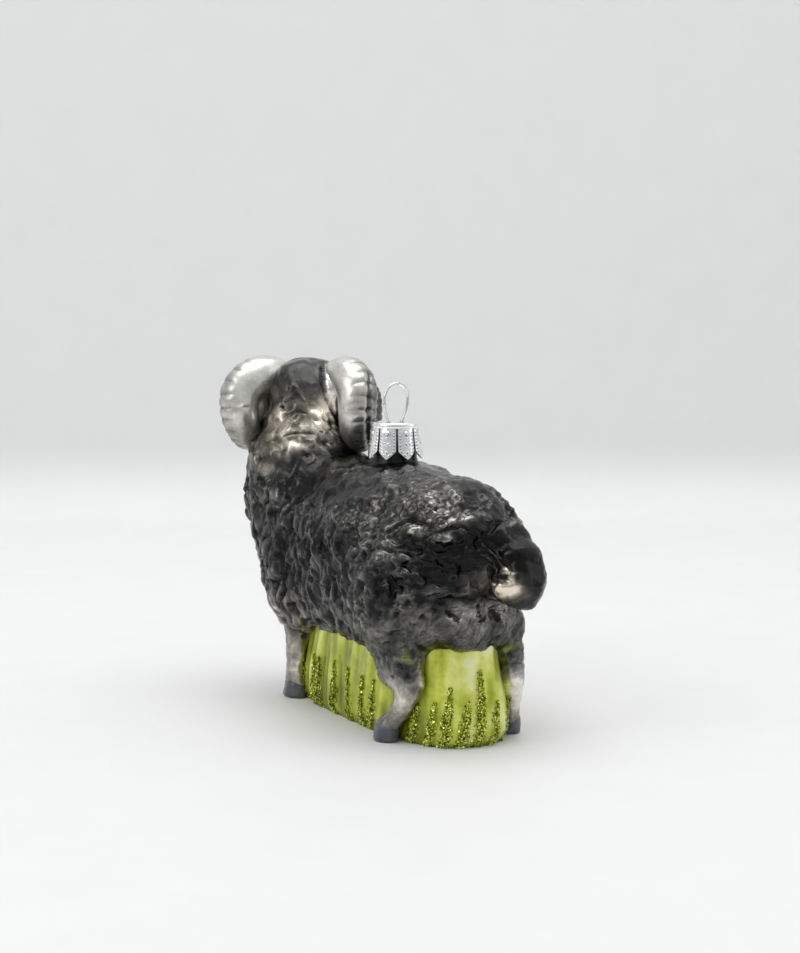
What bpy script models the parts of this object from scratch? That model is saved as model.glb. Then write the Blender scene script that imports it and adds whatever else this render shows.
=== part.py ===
"""A ram-shaped blown-glass tree ornament, about 105 mm long and 80 mm high, as separate named solids.

The glass ram stands on a tuft of grass that fills the space between its legs. A stamped cap with eight
pointed petals sits on the glass neck in the middle of its back, and a wire loop springs out of the cap.

Everything is worked out in millimetres and turned into metres at the end. +Y is the way the body faces,
+X is the ram's right, +Z is up, and the origin is on the table under the cap's axis.
"""

import math
import random

import bmesh
import bpy
import numpy as np
from mathutils import Matrix, Vector, kdtree

METRES_PER_MM = 0.001
GAP = 0.3

# The body.
BACK_HEIGHT = 58.5
BARREL_CENTRE_Z = 38.7
BODY_HALF_WIDTH = 20.5
BELLY_X = 8.5
RUMP_Y = -24.0
CHEST_Y = 27.0
HIND_LEFT_HOOF = (-14.4, -23.5)
HIND_RIGHT_HOOF = (13.4, -28.0)
FRONT_LEG_X = 12.1
FRONT_LEG_Y = 28.0
HOOF_HEIGHT = 3.7
FRONT_LEG_TOP = 15.0
HIND_LEG_TOP = 16.2

# The head is turned to the ram's right, so its own frame is turned about the vertical.
HEAD_CENTRE = Vector((-4.0, 39.7, 69.0))
HEAD_TURN = math.radians(-41)
HEAD_DEPTH = 8.5

# The horns, in the head's frame: a coil seen from the side, which leaves the poll and goes back and down.
COIL_CENTRE = Vector((0.0, -1.5, -0.8))
COIL_REACH_Y = 6.4
COIL_REACH_Z = 7.6
COIL_START = -25.0
COIL_END = 324.0
HORN_BASE_RADIUS = 5.3
HORN_TIP_RADIUS = 1.7
HORN_RIDGES = 18
HORN_RIDGE_HEIGHT = 0.42

# The fleece: rounded clumps set close.
CLUMP_PITCH = 4.9
CLUMP_HEIGHT = 1.5
CLUMP_STRETCH = 1.3
FLEECE_SEED = 11

# The tuft of grass.
GRASS_CENTRE_Y = -2.5
GRASS_HALF_LENGTH = 37.0
GRASS_HALF_WIDTH = 12.8
GRASS_TOP_Z = 22.5
GRASS_SQUARENESS = 3.0
GRASS_SEED = 5
# Each seen blade: how far round the outline it stands, its height and its lean. The rest stand a pitch apart.
SEEN_BLADES = [
    (66.0, 10.5, 1.2), (69.6, 10.0, 1.0), (78.0, 11.5, 1.4), (86.6, 11.5, 0.2), (93.4, 11.0, 0.9),
    (97.4, 10.0, 2.2), (113.8, 8.8, 2.6), (119.0, 9.8, 1.6), (122.9, 13.2, 1.5), (126.7, 10.2, 1.4),
    (130.6, 16.4, 0.8), (134.5, 9.8, 0.6),
]
HIDDEN_BLADE_PITCH = 5.2
HIDDEN_FROM, HIDDEN_TO = 140.0, 236.0
BLADE_HALF_WIDTH = 0.8
BLADE_RISE = 0.6

# The cap, its petals and the wire.
CAP_TOP_Z = 67.1
CAP_TOP_RADIUS = 5.3
CAP_RIM_RADIUS = 6.2
CAP_SHEET = 0.5
PETALS = 8
PETAL_TIP_Z = 58.9
PETAL_POINT = 2.2
PETAL_SLIT = 0.22
NECK_RADIUS = 4.3
NECK_MOUTH_Z = 64.8
WIRE_RADIUS = 0.36
LOOP_TOP_Z = 76.1
LOOP_WIDEST_Z = 72.2
LOOP_HALF_WIDTH = 3.3
LOOP_LEAN = 0.55
LEG_SPREAD = 1.65

# How fine the fused glass is before and after its triangles are thinned out.
VOXEL = 0.8
BODY_TRIANGLES = 6100
ROOM_SLACK = 0.12


def clear_scene():
    for obj in list(bpy.data.objects):
        bpy.data.objects.remove(obj, do_unlink=True)


def object_from(bm, name):
    """A new object that holds what a bmesh holds, with its faces pointing out."""
    bmesh.ops.recalc_face_normals(bm, faces=bm.faces)
    mesh = bpy.data.meshes.new(name)
    bm.to_mesh(mesh)
    bm.free()
    obj = bpy.data.objects.new(name, mesh)
    bpy.context.scene.collection.objects.link(obj)
    return obj


def ball(centre, radii, turn=None, facets=(28, 18)):
    """An ellipsoid, turned about its centre where a rotation is given."""
    bm = bmesh.new()
    bmesh.ops.create_uvsphere(bm, u_segments=facets[0], v_segments=facets[1], radius=1.0)
    shape = Matrix.Translation(centre) @ (turn or Matrix.Identity(4)) @ Matrix.Diagonal((*radii, 1.0))
    bm.transform(shape)
    return object_from(bm, "ball")


def block(centre, size, turn=None):
    """A box, turned about its centre where a rotation is given."""
    bm = bmesh.new()
    bmesh.ops.create_cube(bm, size=1.0)
    bm.transform(Matrix.Translation(centre) @ (turn or Matrix.Identity(4)) @ Matrix.Diagonal((*size, 1.0)))
    return object_from(bm, "block")


def limb(stations, sides=16):
    """A closed form through rings. A station is a centre, a half-width across and a half-depth along."""
    centres = [Vector(centre) for centre, _, _ in stations]
    bm = bmesh.new()
    rings = []
    for i, (_, across, along) in enumerate(stations):
        ahead = centres[min(i + 1, len(centres) - 1)]
        behind = centres[max(i - 1, 0)]
        direction = (ahead - behind).normalized()
        side = Vector((1, 0, 0)) - direction * direction.x
        side.normalize()
        front = direction.cross(side)
        ring = []
        for k in range(sides):
            angle = math.tau * k / sides
            offset = side * (across * math.cos(angle)) + front * (along * math.sin(angle))
            ring.append(bm.verts.new(centres[i] + offset))
        rings.append(ring)
    join_rings(bm, rings)
    return object_from(bm, "limb")


def join_rings(bm, rings):
    """Faces between neighbouring rings, and a flat face on each end."""
    count = len(rings[0])
    for lower, upper in zip(rings, rings[1:]):
        for k in range(count):
            after = (k + 1) % count
            bm.faces.new((lower[k], lower[after], upper[after], upper[k]))
    bm.faces.new(rings[0])
    bm.faces.new(reversed(rings[-1]))


def both_sides(make, centre, *more):
    """The form on the ram's right, and its twin on the left."""
    x, y, z = centre
    return [make((x, y, z), *more), make((-x, y, z), *more)]


def bake(obj):
    """Turns an object's modifiers into its mesh."""
    graph = bpy.context.evaluated_depsgraph_get()
    mesh = bpy.data.meshes.new_from_object(obj.evaluated_get(graph))
    obj.modifiers.clear()
    obj.data = mesh
    return obj


def join(pieces):
    """One object that holds all the pieces' meshes, in place."""
    bm = bmesh.new()
    for piece in pieces:
        piece.data.transform(piece.matrix_world)
        bm.from_mesh(piece.data)
        bpy.data.objects.remove(piece, do_unlink=True)
    mesh = bpy.data.meshes.new("joined")
    bm.to_mesh(mesh)
    bm.free()
    obj = bpy.data.objects.new("joined", mesh)
    bpy.context.scene.collection.objects.link(obj)
    return obj


def melt(pieces, voxel, rounds):
    """Fuses pieces into one skin, and softens where they meet as hot glass would be."""
    obj = join(pieces)
    remesh = obj.modifiers.new("fuse", "REMESH")
    remesh.mode = "VOXEL"
    remesh.voxel_size = voxel
    smooth = obj.modifiers.new("soften", "SMOOTH")
    smooth.factor = 0.5
    smooth.iterations = rounds
    return bake(obj)


def thin_out(obj, triangles):
    """Fewer triangles, kept where the surface bends."""
    bm = bmesh.new()
    bm.from_mesh(obj.data)
    bmesh.ops.triangulate(bm, faces=bm.faces)
    count = len(bm.faces)
    bm.to_mesh(obj.data)
    bm.free()
    decimate = obj.modifiers.new("thin out", "DECIMATE")
    decimate.ratio = min(1.0, triangles / count)
    return bake(obj)


def combine(obj, others, operation, close_folds=False):
    """A Boolean with a collection of closed meshes, applied. The others are used up."""
    cutters = bpy.data.collections.new("cutters")
    for other in others:
        cutters.objects.link(other)
    boolean = obj.modifiers.new(operation, "BOOLEAN")
    boolean.operation = operation
    boolean.operand_type = "COLLECTION"
    boolean.collection = cutters
    boolean.solver = "EXACT"
    boolean.use_self = close_folds
    bake(obj)
    for other in others:
        bpy.data.objects.remove(other, do_unlink=True)
    bpy.data.collections.remove(cutters)
    return obj


def copy_of(obj):
    twin = obj.copy()
    twin.data = obj.data.copy()
    bpy.context.scene.collection.objects.link(twin)
    return twin


def grown(obj, distance):
    """A copy whose surface stands out by a distance all over."""
    twin = copy_of(obj)
    swell = twin.modifiers.new("grow", "DISPLACE")
    swell.strength = distance
    swell.mid_level = 0.0
    return bake(twin)


def room_round(whole):
    """The room that the whole body takes up with a gap all round, as a clean skin of its own."""
    twin = grown(whole, GAP + ROOM_SLACK)
    remesh = twin.modifiers.new("clean", "REMESH")
    remesh.mode = "VOXEL"
    remesh.voxel_size = VOXEL
    return thin_out(bake(twin), BODY_TRIANGLES)


def largest_body(obj):
    """Keeps an object's largest closed surface and drops every scrap."""
    bm = bmesh.new()
    bm.from_mesh(obj.data)
    bmesh.ops.remove_doubles(bm, verts=bm.verts, dist=0.0005)
    bmesh.ops.triangulate(bm, faces=bm.faces)
    bodies, seen = [], set()
    for start in bm.faces:
        if start in seen:
            continue
        body, to_do = [], [start]
        seen.add(start)
        while to_do:
            face = to_do.pop()
            body.append(face)
            for edge in face.edges:
                for other in edge.link_faces:
                    if other not in seen:
                        seen.add(other)
                        to_do.append(other)
        bodies.append(body)
    volumes = [sum(f.verts[0].co.dot(f.verts[1].co.cross(f.verts[2].co)) for f in body) for body in bodies]
    keep = bodies[volumes.index(max(volumes))]
    scraps = [face for face in bm.faces if face not in set(keep)]
    bmesh.ops.delete(bm, geom=scraps, context="FACES")
    bm.to_mesh(obj.data)
    bm.free()
    return obj


def ease(value, low, high):
    """0 below low, 1 above high, and a smooth step between."""
    t = min(1.0, max(0.0, (value - low) / (high - low)))
    return t * t * (3 - 2 * t)


def in_head_frame(point):
    return Matrix.Rotation(-HEAD_TURN, 4, "Z") @ (point - HEAD_CENTRE)


def out_of_head_frame():
    return Matrix.Translation(HEAD_CENTRE) @ Matrix.Rotation(HEAD_TURN, 4, "Z")


def body_masses():
    """The rounded masses of the trunk and neck."""
    barrel = ball((0, -1, BARREL_CENTRE_Z), (BODY_HALF_WIDTH - 0.5, 38, BACK_HEIGHT - BARREL_CENTRE_Z))
    rump = ball((0.6, RUMP_Y - 2.0, 40.0), (15.4, 14.7, 17.0))
    seat = ball((0.3, RUMP_Y - 5.0, 24.8), (14.5, 11.0, 6.4))
    chest = ball((-0.2, CHEST_Y + 2, 36.0), (BODY_HALF_WIDTH - 1.3, 20.0, 19.6))
    withers = ball((-1, 18, 47), (12, 16, 11.2))
    left_haunch = ball((-8.0, RUMP_Y + 1.5, 33.0), (12.4, 14.5, 16.5))
    right_haunch = ball((5.6, RUMP_Y + 4.0, 33.0), (10.4, 12.0, 15.5))
    bellies = []
    for x in (-BELLY_X, BELLY_X):
        low_line = [
            ((x, -28, 33), 8.5, 12.5),
            ((x, -10, 30.5), 9.5, 13),
            ((x, 10, 30.5), 9.5, 13),
            ((x, 24, 31), 8.5, 12.5),
        ]
        bellies.append(limb(low_line))
    shoulders = both_sides(ball, (10.2, CHEST_Y - 2, 31.0), (10.2, 12.0, 15.5))
    neck = limb(
        [
            ((-0.5, 26, 36), 17.6, 18.6),
            ((-3.0, 34, 44), 16.9, 17.2),
            ((-4.6, 37.5, 51), 15.2, 15.4),
            ((-5.2, 38.8, 58), 13.2, 13.4),
            ((-4.6, 39.2, 64), 10.6, 11.2),
            ((-4.0, 39.4, 70), 8.8, 9.2),
        ],
        sides=24,
    )
    return [barrel, rump, seat, chest, withers, left_haunch, right_haunch, *bellies, *shoulders, neck]


def tail_masses():
    """The thick woolly tail, which hangs a little to the ram's right."""
    return [
        limb(
            [
                ((4.5, -33.0, 45.0), 5.4, 3.6),
                ((5.6, -38.2, 43.6), 6.0, 3.9),
                ((6.8, -42.8, 40.0), 6.7, 4.4),
                ((7.0, -44.3, 35.2), 6.5, 4.6),
                ((6.4, -42.6, 31.2), 4.6, 3.5),
            ],
            sides=20,
        )
    ]


def leg_masses():
    """The four legs with their hooves. The left hind foot stands a little further forward than the right."""
    pieces = []
    for x in (-FRONT_LEG_X, FRONT_LEG_X):
        pieces.append(
            limb(
                [
                    ((x * 0.86, FRONT_LEG_Y - 2, 25), 5.6, 6.5),
                    ((x * 0.95, FRONT_LEG_Y - 0.5, 17), 3.6, 4.4),
                    ((x, FRONT_LEG_Y, 11), 2.7, 3.3),
                    ((x, FRONT_LEG_Y, 5.4), 2.5, 3.1),
                    ((x, FRONT_LEG_Y + 0.3, 3.6), 2.9, 3.6),
                    ((x, FRONT_LEG_Y + 0.8, -1.5), 3.3, 4.6),
                ]
            )
        )
    for x, y in (HIND_LEFT_HOOF, HIND_RIGHT_HOOF):
        pieces.append(
            limb(
                [
                    ((x * 0.62, y + 3.0, 29), 8.0, 10.0),
                    ((x * 0.72, y + 1.5, 21.5), 5.0, 11.5),
                    ((x * 0.78, y - 2.0, 16.0), 3.9, 9.0),
                    ((x * 0.78, y - 6.0, 11.6), 3.0, 5.2),
                    ((x * 0.85, y - 5.0, 8.2), 2.2, 2.9),
                    ((x * 0.93, y - 2.6, 5.0), 2.1, 2.5),
                    ((x, y - 0.8, 3.3), 2.8, 3.4),
                    ((x, y, -1.5), 3.0, 4.1),
                ]
            )
        )
    return pieces


def head_masses():
    """The skull, cheeks, brows and muzzle, made in the head's frame and then turned into place."""
    tip_down = Matrix.Rotation(math.radians(-35), 4, "X")
    pieces = [
        ball((0, -0.5, 2.0), (9.2, 9.0, 9.2)),
        ball((0, 1.5, 7.8), (7.6, 6.4, 3.8)),
        ball((0, -2.0, -5.0), (9.8, 9.2, 8.0)),
        ball((0, 10.5, -5.2), (4.9, 9.6, 5.4), tip_down),
        ball((0, 16.2, -9.2), (4.1, 3.6, 3.7)),
        ball((0, 12.0, -10.4), (3.2, 5.4, 3.0), tip_down),
        *both_sides(ball, (3.9, 4.6, -3.4), (3.9, 6.0, 5.4)),
        *both_sides(ball, (4.3, 6.4, 2.4), (2.7, 2.8, 2.1)),
    ]
    for piece in pieces:
        piece.data.transform(out_of_head_frame())
    return pieces


def fleece_at(point):
    """How much fleece a place carries: full on the flanks, less along the back, none on the legs and face."""
    above_legs = ease(point.z, 15.0, 22.0)
    near_spine = 1 - ease(abs(point.x), 4.0, 10.0)
    along_back = near_spine * ease(point.z, 50.0, 55.0) * (1 - ease(point.y, 20.0, 30.0))
    on_tail = ease(-point.y, 39.5, 42.0)
    local = in_head_frame(point)
    on_head = ease(point.z, 59.0, 66.0)
    behind_face = 1 - ease(local.y, -2.0, 2.0)
    on_skull = 1 - on_head * (1 - 0.5 * behind_face)
    return above_legs * (1 - 0.85 * along_back) * (1 - 0.6 * on_tail) * on_skull


def lie_at(point):
    """The way the fleece runs: down the flanks and neck, and to the rear along the back."""
    rearward = 0.25 + 0.9 * ease(point.z, 40.0, 55.0)
    return Vector((0, -rearward, -1.0)).normalized()


def scattered(obj, pitch, seed):
    """Places on a surface that keep about a pitch apart, with the fleece each one carries."""
    rng = random.Random(seed)
    order = list(range(len(obj.data.vertices)))
    rng.shuffle(order)
    taken = {}
    places = []
    for index in order:
        point = obj.data.vertices[index].co
        amount = fleece_at(point)
        if amount < 0.05:
            continue
        cell = tuple(int(c // pitch) for c in point)
        near = (
            taken.get((cell[0] + i, cell[1] + j, cell[2] + k), ())
            for i in (-1, 0, 1)
            for j in (-1, 0, 1)
            for k in (-1, 0, 1)
        )
        if any((point - other).length < pitch for group in near for other in group):
            continue
        taken.setdefault(cell, []).append(point.copy())
        places.append((point.copy(), rng.uniform(0.8, 1.2)))
    return places


def raise_fleece(obj):
    """Lifts the skin into rounded clumps, with creases where they meet."""
    clumps = scattered(obj, CLUMP_PITCH, FLEECE_SEED)
    tree = kdtree.KDTree(len(clumps))
    for i, (place, _) in enumerate(clumps):
        tree.insert(place, i)
    tree.balance()
    moved = []
    for vertex in obj.data.vertices:
        amount = fleece_at(vertex.co)
        lift = 0.0
        if amount > 0:
            lie = lie_at(vertex.co)
            for place, i, _ in tree.find_n(vertex.co, 5):
                away = vertex.co - place
                along = away.dot(lie)
                across_squared = away.length_squared - along * along
                reach = CLUMP_PITCH * 0.72 * clumps[i][1]
                spread = (along / CLUMP_STRETCH) ** 2 + across_squared
                lift = max(lift, clumps[i][1] * (1 - spread / reach**2))
        moved.append(vertex.co + vertex.normal * (CLUMP_HEIGHT * amount * (lift - 0.35)))
    for vertex, place in zip(obj.data.vertices, moved):
        vertex.co = place
    obj.data.update()
    return obj


def press_face(obj):
    """Cuts the mouth line and the nostrils into the muzzle."""
    mouth = ball((0, 16.0, -10.8), (4.2, 4.6, 0.42), Matrix.Rotation(math.radians(-12), 4, "X"), (12, 6))
    nostrils = both_sides(ball, (1.9, 19.4, -8.4), (0.75, 1.0, 0.6), None, (8, 6))
    cutters = [mouth, *nostrils]
    for cutter in cutters:
        cutter.data.transform(out_of_head_frame())
    return combine(obj, cutters, "DIFFERENCE")


def glass_ram():
    """The whole blown shape, apart from the horns and the grass."""
    obj = melt([*body_masses(), *tail_masses(), *leg_masses(), *head_masses()], VOXEL, 7)
    raise_fleece(obj)
    thin_out(obj, BODY_TRIANGLES)
    return press_face(obj)


def sloping_block(point, normal, size, gap):
    """A box whose lower face lies on the plane through a point, a gap above it."""
    turn = Vector(normal).to_track_quat("Z", "Y").to_matrix().to_4x4()
    centre = Vector(point) + Vector(normal).normalized() * (size / 2 + gap)
    return block(centre, (size, size, size), turn)


def head_space(gap):
    lean = Matrix.Rotation(HEAD_TURN, 3, "Z") @ Vector((0, 0.5, 1))
    return sloping_block(HEAD_CENTRE - Vector((0, 0, HEAD_DEPTH)), lean, 60, gap)


def neck_space(gap):
    return sloping_block((0, 34.0, 48.5), (0, 0.62, 0.78), 60, gap)


def tail_space(gap):
    return sloping_block((6.0, -39.2, 42.0), (0.2, -1, 0.2), 30, gap)


def leg_space(x, y, low, high, gap=0.0):
    """The room round one leg between two heights."""
    width, length = 18.0, 27.5
    return block((x, y, (low + high) / 2 + gap / 2), (width, length, high - low + gap))


def part_of(whole, name, spaces, keep_out=()):
    """A node: what of the whole lies in every one of the spaces and in none of the others."""
    obj = copy_of(whole)
    for space in spaces:
        combine(obj, [space], "INTERSECT")
    if keep_out:
        combine(obj, list(keep_out), "DIFFERENCE")
    obj.name = name
    return largest_body(obj)


def legs():
    """Each leg's name, the middle of its room and the height of its top."""
    return [
        ("front_right", FRONT_LEG_X, FRONT_LEG_Y, FRONT_LEG_TOP),
        ("front_left", -FRONT_LEG_X, FRONT_LEG_Y, FRONT_LEG_TOP),
        ("hind_right", HIND_RIGHT_HOOF[0] - 1, HIND_RIGHT_HOOF[1] - 3, HIND_LEG_TOP),
        ("hind_left", HIND_LEFT_HOOF[0] + 1, HIND_LEFT_HOOF[1] - 3, HIND_LEG_TOP),
    ]


def legs_and_hooves(whole):
    """Each leg and its hoof, on either side of a level cut."""
    nodes = []
    for name, x, y, top in legs():
        nodes.append(part_of(whole, f"leg_{name}", [leg_space(x, y, HOOF_HEIGHT + GAP, top)]))
        nodes.append(part_of(whole, f"hoof_{name}", [leg_space(x, y, 0.0, HOOF_HEIGHT)]))
    return nodes


def torso(whole):
    """What is left of the body once the neck, tail and legs are parted from it."""
    rooms = [neck_space(0), tail_space(0)]
    rooms += [leg_space(x, y, -5, top, GAP) for _, x, y, top in legs()]
    obj = copy_of(whole)
    for room in rooms:
        combine(obj, [room], "DIFFERENCE")
    obj.name = "torso"
    return largest_body(obj)


def coil_at(share):
    """A place on the right horn's line in the head's frame, and the horn's radius there."""
    angle = math.radians(COIL_START + share * (COIL_END - COIL_START))
    tighten = 1 - 0.22 * share
    outward = 5.6 + 9.2 * ease(share, -0.16, 0.28) - 0.9 * ease(share, 0.3, 0.55)
    outward += 1.9 * ease(share, 0.5, 0.95)
    place = COIL_CENTRE + Vector(
        (outward, -COIL_REACH_Y * tighten * math.sin(angle), COIL_REACH_Z * tighten * math.cos(angle))
    )
    radius = HORN_BASE_RADIUS + (HORN_TIP_RADIUS - HORN_BASE_RADIUS) * share**1.5
    return place, radius


def horn(name, side):
    """A ridged horn that coils once, closed at its middle as blown glass is."""
    steps, sides = 2 * HORN_RIDGES, 12
    bm = bmesh.new()
    rings = []
    for i in range(steps + 1):
        share = i / steps
        place, radius = coil_at(share)
        ahead, _ = coil_at(min(1.0, share + 0.01))
        behind, _ = coil_at(max(0.0, share - 0.01))
        direction = (ahead - behind).normalized()
        across = direction.cross(Vector((1, 0, 0))).normalized()
        lateral = across.cross(direction)
        ridge = HORN_RIDGE_HEIGHT * (1 if i % 2 else -1)
        radius = radius + ridge * (1 - 0.5 * share)
        ring = []
        for k in range(sides):
            angle = math.tau * k / sides
            offset = across * (radius * math.cos(angle)) + lateral * (radius * math.sin(angle))
            ring.append(bm.verts.new(place + offset))
        rings.append(ring)
    join_rings(bm, rings)
    tube = object_from(bm, name)
    plug = ball(COIL_CENTRE + Vector((11.8, 0, 0)), (3.4, 4.6, 5.2), facets=(14, 8))
    tip = ball(coil_at(1.0)[0], (HORN_TIP_RADIUS, HORN_TIP_RADIUS, HORN_TIP_RADIUS), facets=(10, 6))
    for piece in (tube, plug, tip):
        if side < 0:
            piece.data.transform(Matrix.Diagonal((-1, 1, 1, 1)))
            piece.data.flip_normals()
        piece.data.transform(out_of_head_frame())
    return combine(tube, [plug, tip], "UNION")


def ear(name, side):
    """A leaf-shaped ear in front of the horn, cupped towards the face."""
    steps, sides = 8, 12
    length, half_width, thickness = 9.0, 2.7, 1.0
    root = Vector((7.6, 4.2, -1.0))
    reach = Vector((0.8, 0.5, -0.3)).normalized()
    lift = Vector((-0.3, 0.2, 1.0))
    wide = (lift - reach * lift.dot(reach)).normalized()
    deep = reach.cross(wide)
    bm = bmesh.new()
    rings = []
    for i in range(steps + 1):
        share = i / steps
        width = half_width * math.sin(math.pi * (0.16 + 0.8 * share)) ** 0.8
        droop = Vector((0, 0, -2.2)) * share * share
        centre = root + reach * (length * share) + droop
        ring = []
        for k in range(sides):
            angle = math.tau * k / sides
            cup = 0.35 * width * math.cos(angle) ** 2
            offset = wide * (width * math.cos(angle)) + deep * (thickness * math.sin(angle) + cup)
            ring.append(bm.verts.new(centre + offset))
        rings.append(ring)
    join_rings(bm, rings)
    obj = object_from(bm, name)
    if side < 0:
        obj.data.transform(Matrix.Diagonal((-1, 1, 1, 1)))
        obj.data.flip_normals()
    obj.data.transform(out_of_head_frame())
    return obj


def eye(name, side):
    """A domed eye on the side of the brow."""
    obj = ball((side * 6.0, 7.0, 0.4), (1.7, 2.0, 1.7), facets=(12, 8))
    obj.name = name
    obj.data.transform(out_of_head_frame())
    return obj


def grass_outline(angle, size=1.0):
    """A place on the grass's rounded outline, seen from above."""
    power = 2 / GRASS_SQUARENESS
    x = GRASS_HALF_WIDTH * size * math.copysign(abs(math.cos(angle)) ** power, math.cos(angle))
    y = GRASS_HALF_LENGTH * size * math.copysign(abs(math.sin(angle)) ** power, math.sin(angle))
    return Vector((x, y + GRASS_CENTRE_Y, 0))


def grass_size(z):
    """How far the grass has spread at a height: tucked in a little at the foot, fullest low down."""
    return 0.96 + 0.04 * ease(z, 0.0, 3.0) - 0.06 * ease(z, 8.0, GRASS_TOP_Z)


def outline_walk():
    """Angles round the outline, and how far round each one is."""
    samples = 1440
    angles = [math.tau * i / samples for i in range(samples + 1)]
    points = [grass_outline(angle) for angle in angles]
    walked = [0.0]
    for before, after in zip(points, points[1:]):
        walked.append(walked[-1] + (after - before).length)
    return angles, walked


def all_blades():
    """The blades that can be seen from behind, and the same kind of blades round the rest of the tuft."""
    rng = random.Random(GRASS_SEED)
    blades = list(SEEN_BLADES)
    place = HIDDEN_FROM
    while place < HIDDEN_TO:
        blades.append((place, rng.uniform(8.5, 14.0), rng.uniform(0.3, 1.8)))
        place += HIDDEN_BLADE_PITCH * rng.uniform(0.85, 1.15)
    return blades


def blade(place, height, lean, angles, walked):
    """A tapered blade of grass that stands proud of the tuft."""
    steps, sides = 3, 6
    bm = bmesh.new()
    rings = []
    for i in range(steps + 1):
        share = i / steps
        z = -0.5 + (height + 0.5) * share
        turned = float(np.interp((place + lean * share) % walked[-1], walked, angles))
        centre = grass_outline(turned, grass_size(z)) + Vector((0, 0, z))
        beside = grass_outline(turned + 0.02, grass_size(z)) - grass_outline(turned - 0.02, grass_size(z))
        along = beside.normalized()
        outward = along.cross(Vector((0, 0, 1)))
        taper = 0.9 * (1 - share**2) + 0.22
        ring = []
        for k in range(sides):
            turn = math.tau * k / sides
            offset = along * (BLADE_HALF_WIDTH * taper * math.cos(turn))
            offset += outward * (BLADE_RISE * taper * math.sin(turn))
            ring.append(bm.verts.new(centre + offset))
        rings.append(ring)
    join_rings(bm, rings)
    return object_from(bm, "blade")


def grass(room):
    """The tuft that fills the space between the legs, with blades raised round it."""
    levels, around = (-1.0, 0.0, 3.0, 12.0, GRASS_TOP_Z), 44
    bm = bmesh.new()
    rings = []
    for z in levels:
        size = grass_size(max(z, 0.0))
        ring = [
            bm.verts.new(grass_outline(math.tau * k / around, size) + Vector((0, 0, z)))
            for k in range(around)
        ]
        rings.append(ring)
    join_rings(bm, rings)
    obj = object_from(bm, "grass")
    angles, walked = outline_walk()
    combine(obj, [blade(*seen, angles, walked) for seen in all_blades()], "UNION")
    combine(obj, [block((0, 0, -5), (200, 200, 10))], "DIFFERENCE")
    combine(obj, [room], "DIFFERENCE", close_folds=True)
    obj.name = "grass"
    return largest_body(obj)


def turned(name, profile, sides):
    """A solid of revolution about the cap's axis. The profile runs from the axis out and back to it."""
    bm = bmesh.new()
    rows = []
    for radius, z in profile:
        if radius < 1e-6:
            rows.append([bm.verts.new((0, 0, z))])
            continue
        turns = [math.tau * k / sides for k in range(sides)]
        rows.append([bm.verts.new((radius * math.cos(turn), radius * math.sin(turn), z)) for turn in turns])
    for lower, upper in zip(rows, rows[1:]):
        for k in range(sides):
            after = (k + 1) % sides
            if len(lower) == 1:
                bm.faces.new((lower[0], upper[after], upper[k]))
            elif len(upper) == 1:
                bm.faces.new((lower[k], lower[after], upper[0]))
            else:
                bm.faces.new((lower[k], lower[after], upper[after], upper[k]))
    return object_from(bm, name)


def glass_neck(room):
    """The short glass tube that the cap sits on, which flares into the back."""
    profile = [
        (0, BACK_HEIGHT - 6),
        (NECK_RADIUS + 1.4, BACK_HEIGHT - 6),
        (NECK_RADIUS + 1.2, BACK_HEIGHT - 0.4),
        (NECK_RADIUS + 0.8, BACK_HEIGHT + 0.3),
        (NECK_RADIUS + 0.5, BACK_HEIGHT + 3),
        (NECK_RADIUS, BACK_HEIGHT + 5.2),
        (NECK_RADIUS, NECK_MOUTH_Z - 0.5),
        (NECK_RADIUS - 0.5, NECK_MOUTH_Z),
        (0, NECK_MOUTH_Z),
    ]
    obj = turned("glass_neck", profile, 24)
    combine(obj, [room], "DIFFERENCE")
    obj.name = "glass_neck"
    return largest_body(obj)


def petal_slit(index):
    """The slit between two petals, which opens into a notch so that each petal ends in a point."""
    half_pitch = math.pi * CAP_RIM_RADIUS / PETALS
    outline = [
        (-PETAL_SLIT, CAP_TOP_Z - 1.4),
        (PETAL_SLIT, CAP_TOP_Z - 1.4),
        (PETAL_SLIT * 1.6, PETAL_TIP_Z + PETAL_POINT),
        (half_pitch, PETAL_TIP_Z + 0.05),
        (half_pitch, PETAL_TIP_Z - 2),
        (-half_pitch, PETAL_TIP_Z - 2),
        (-half_pitch, PETAL_TIP_Z + 0.05),
        (-PETAL_SLIT * 1.6, PETAL_TIP_Z + PETAL_POINT),
    ]
    turn = Matrix.Rotation(math.tau * (index + 0.5) / PETALS, 4, "Z")
    bm = bmesh.new()
    rings = []
    for reach in (2.5, 9.0):
        spread = reach / CAP_RIM_RADIUS
        rings.append([bm.verts.new(turn @ Vector((reach, x * spread, z))) for x, z in outline])
    join_rings(bm, rings)
    return object_from(bm, "slit")


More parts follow.
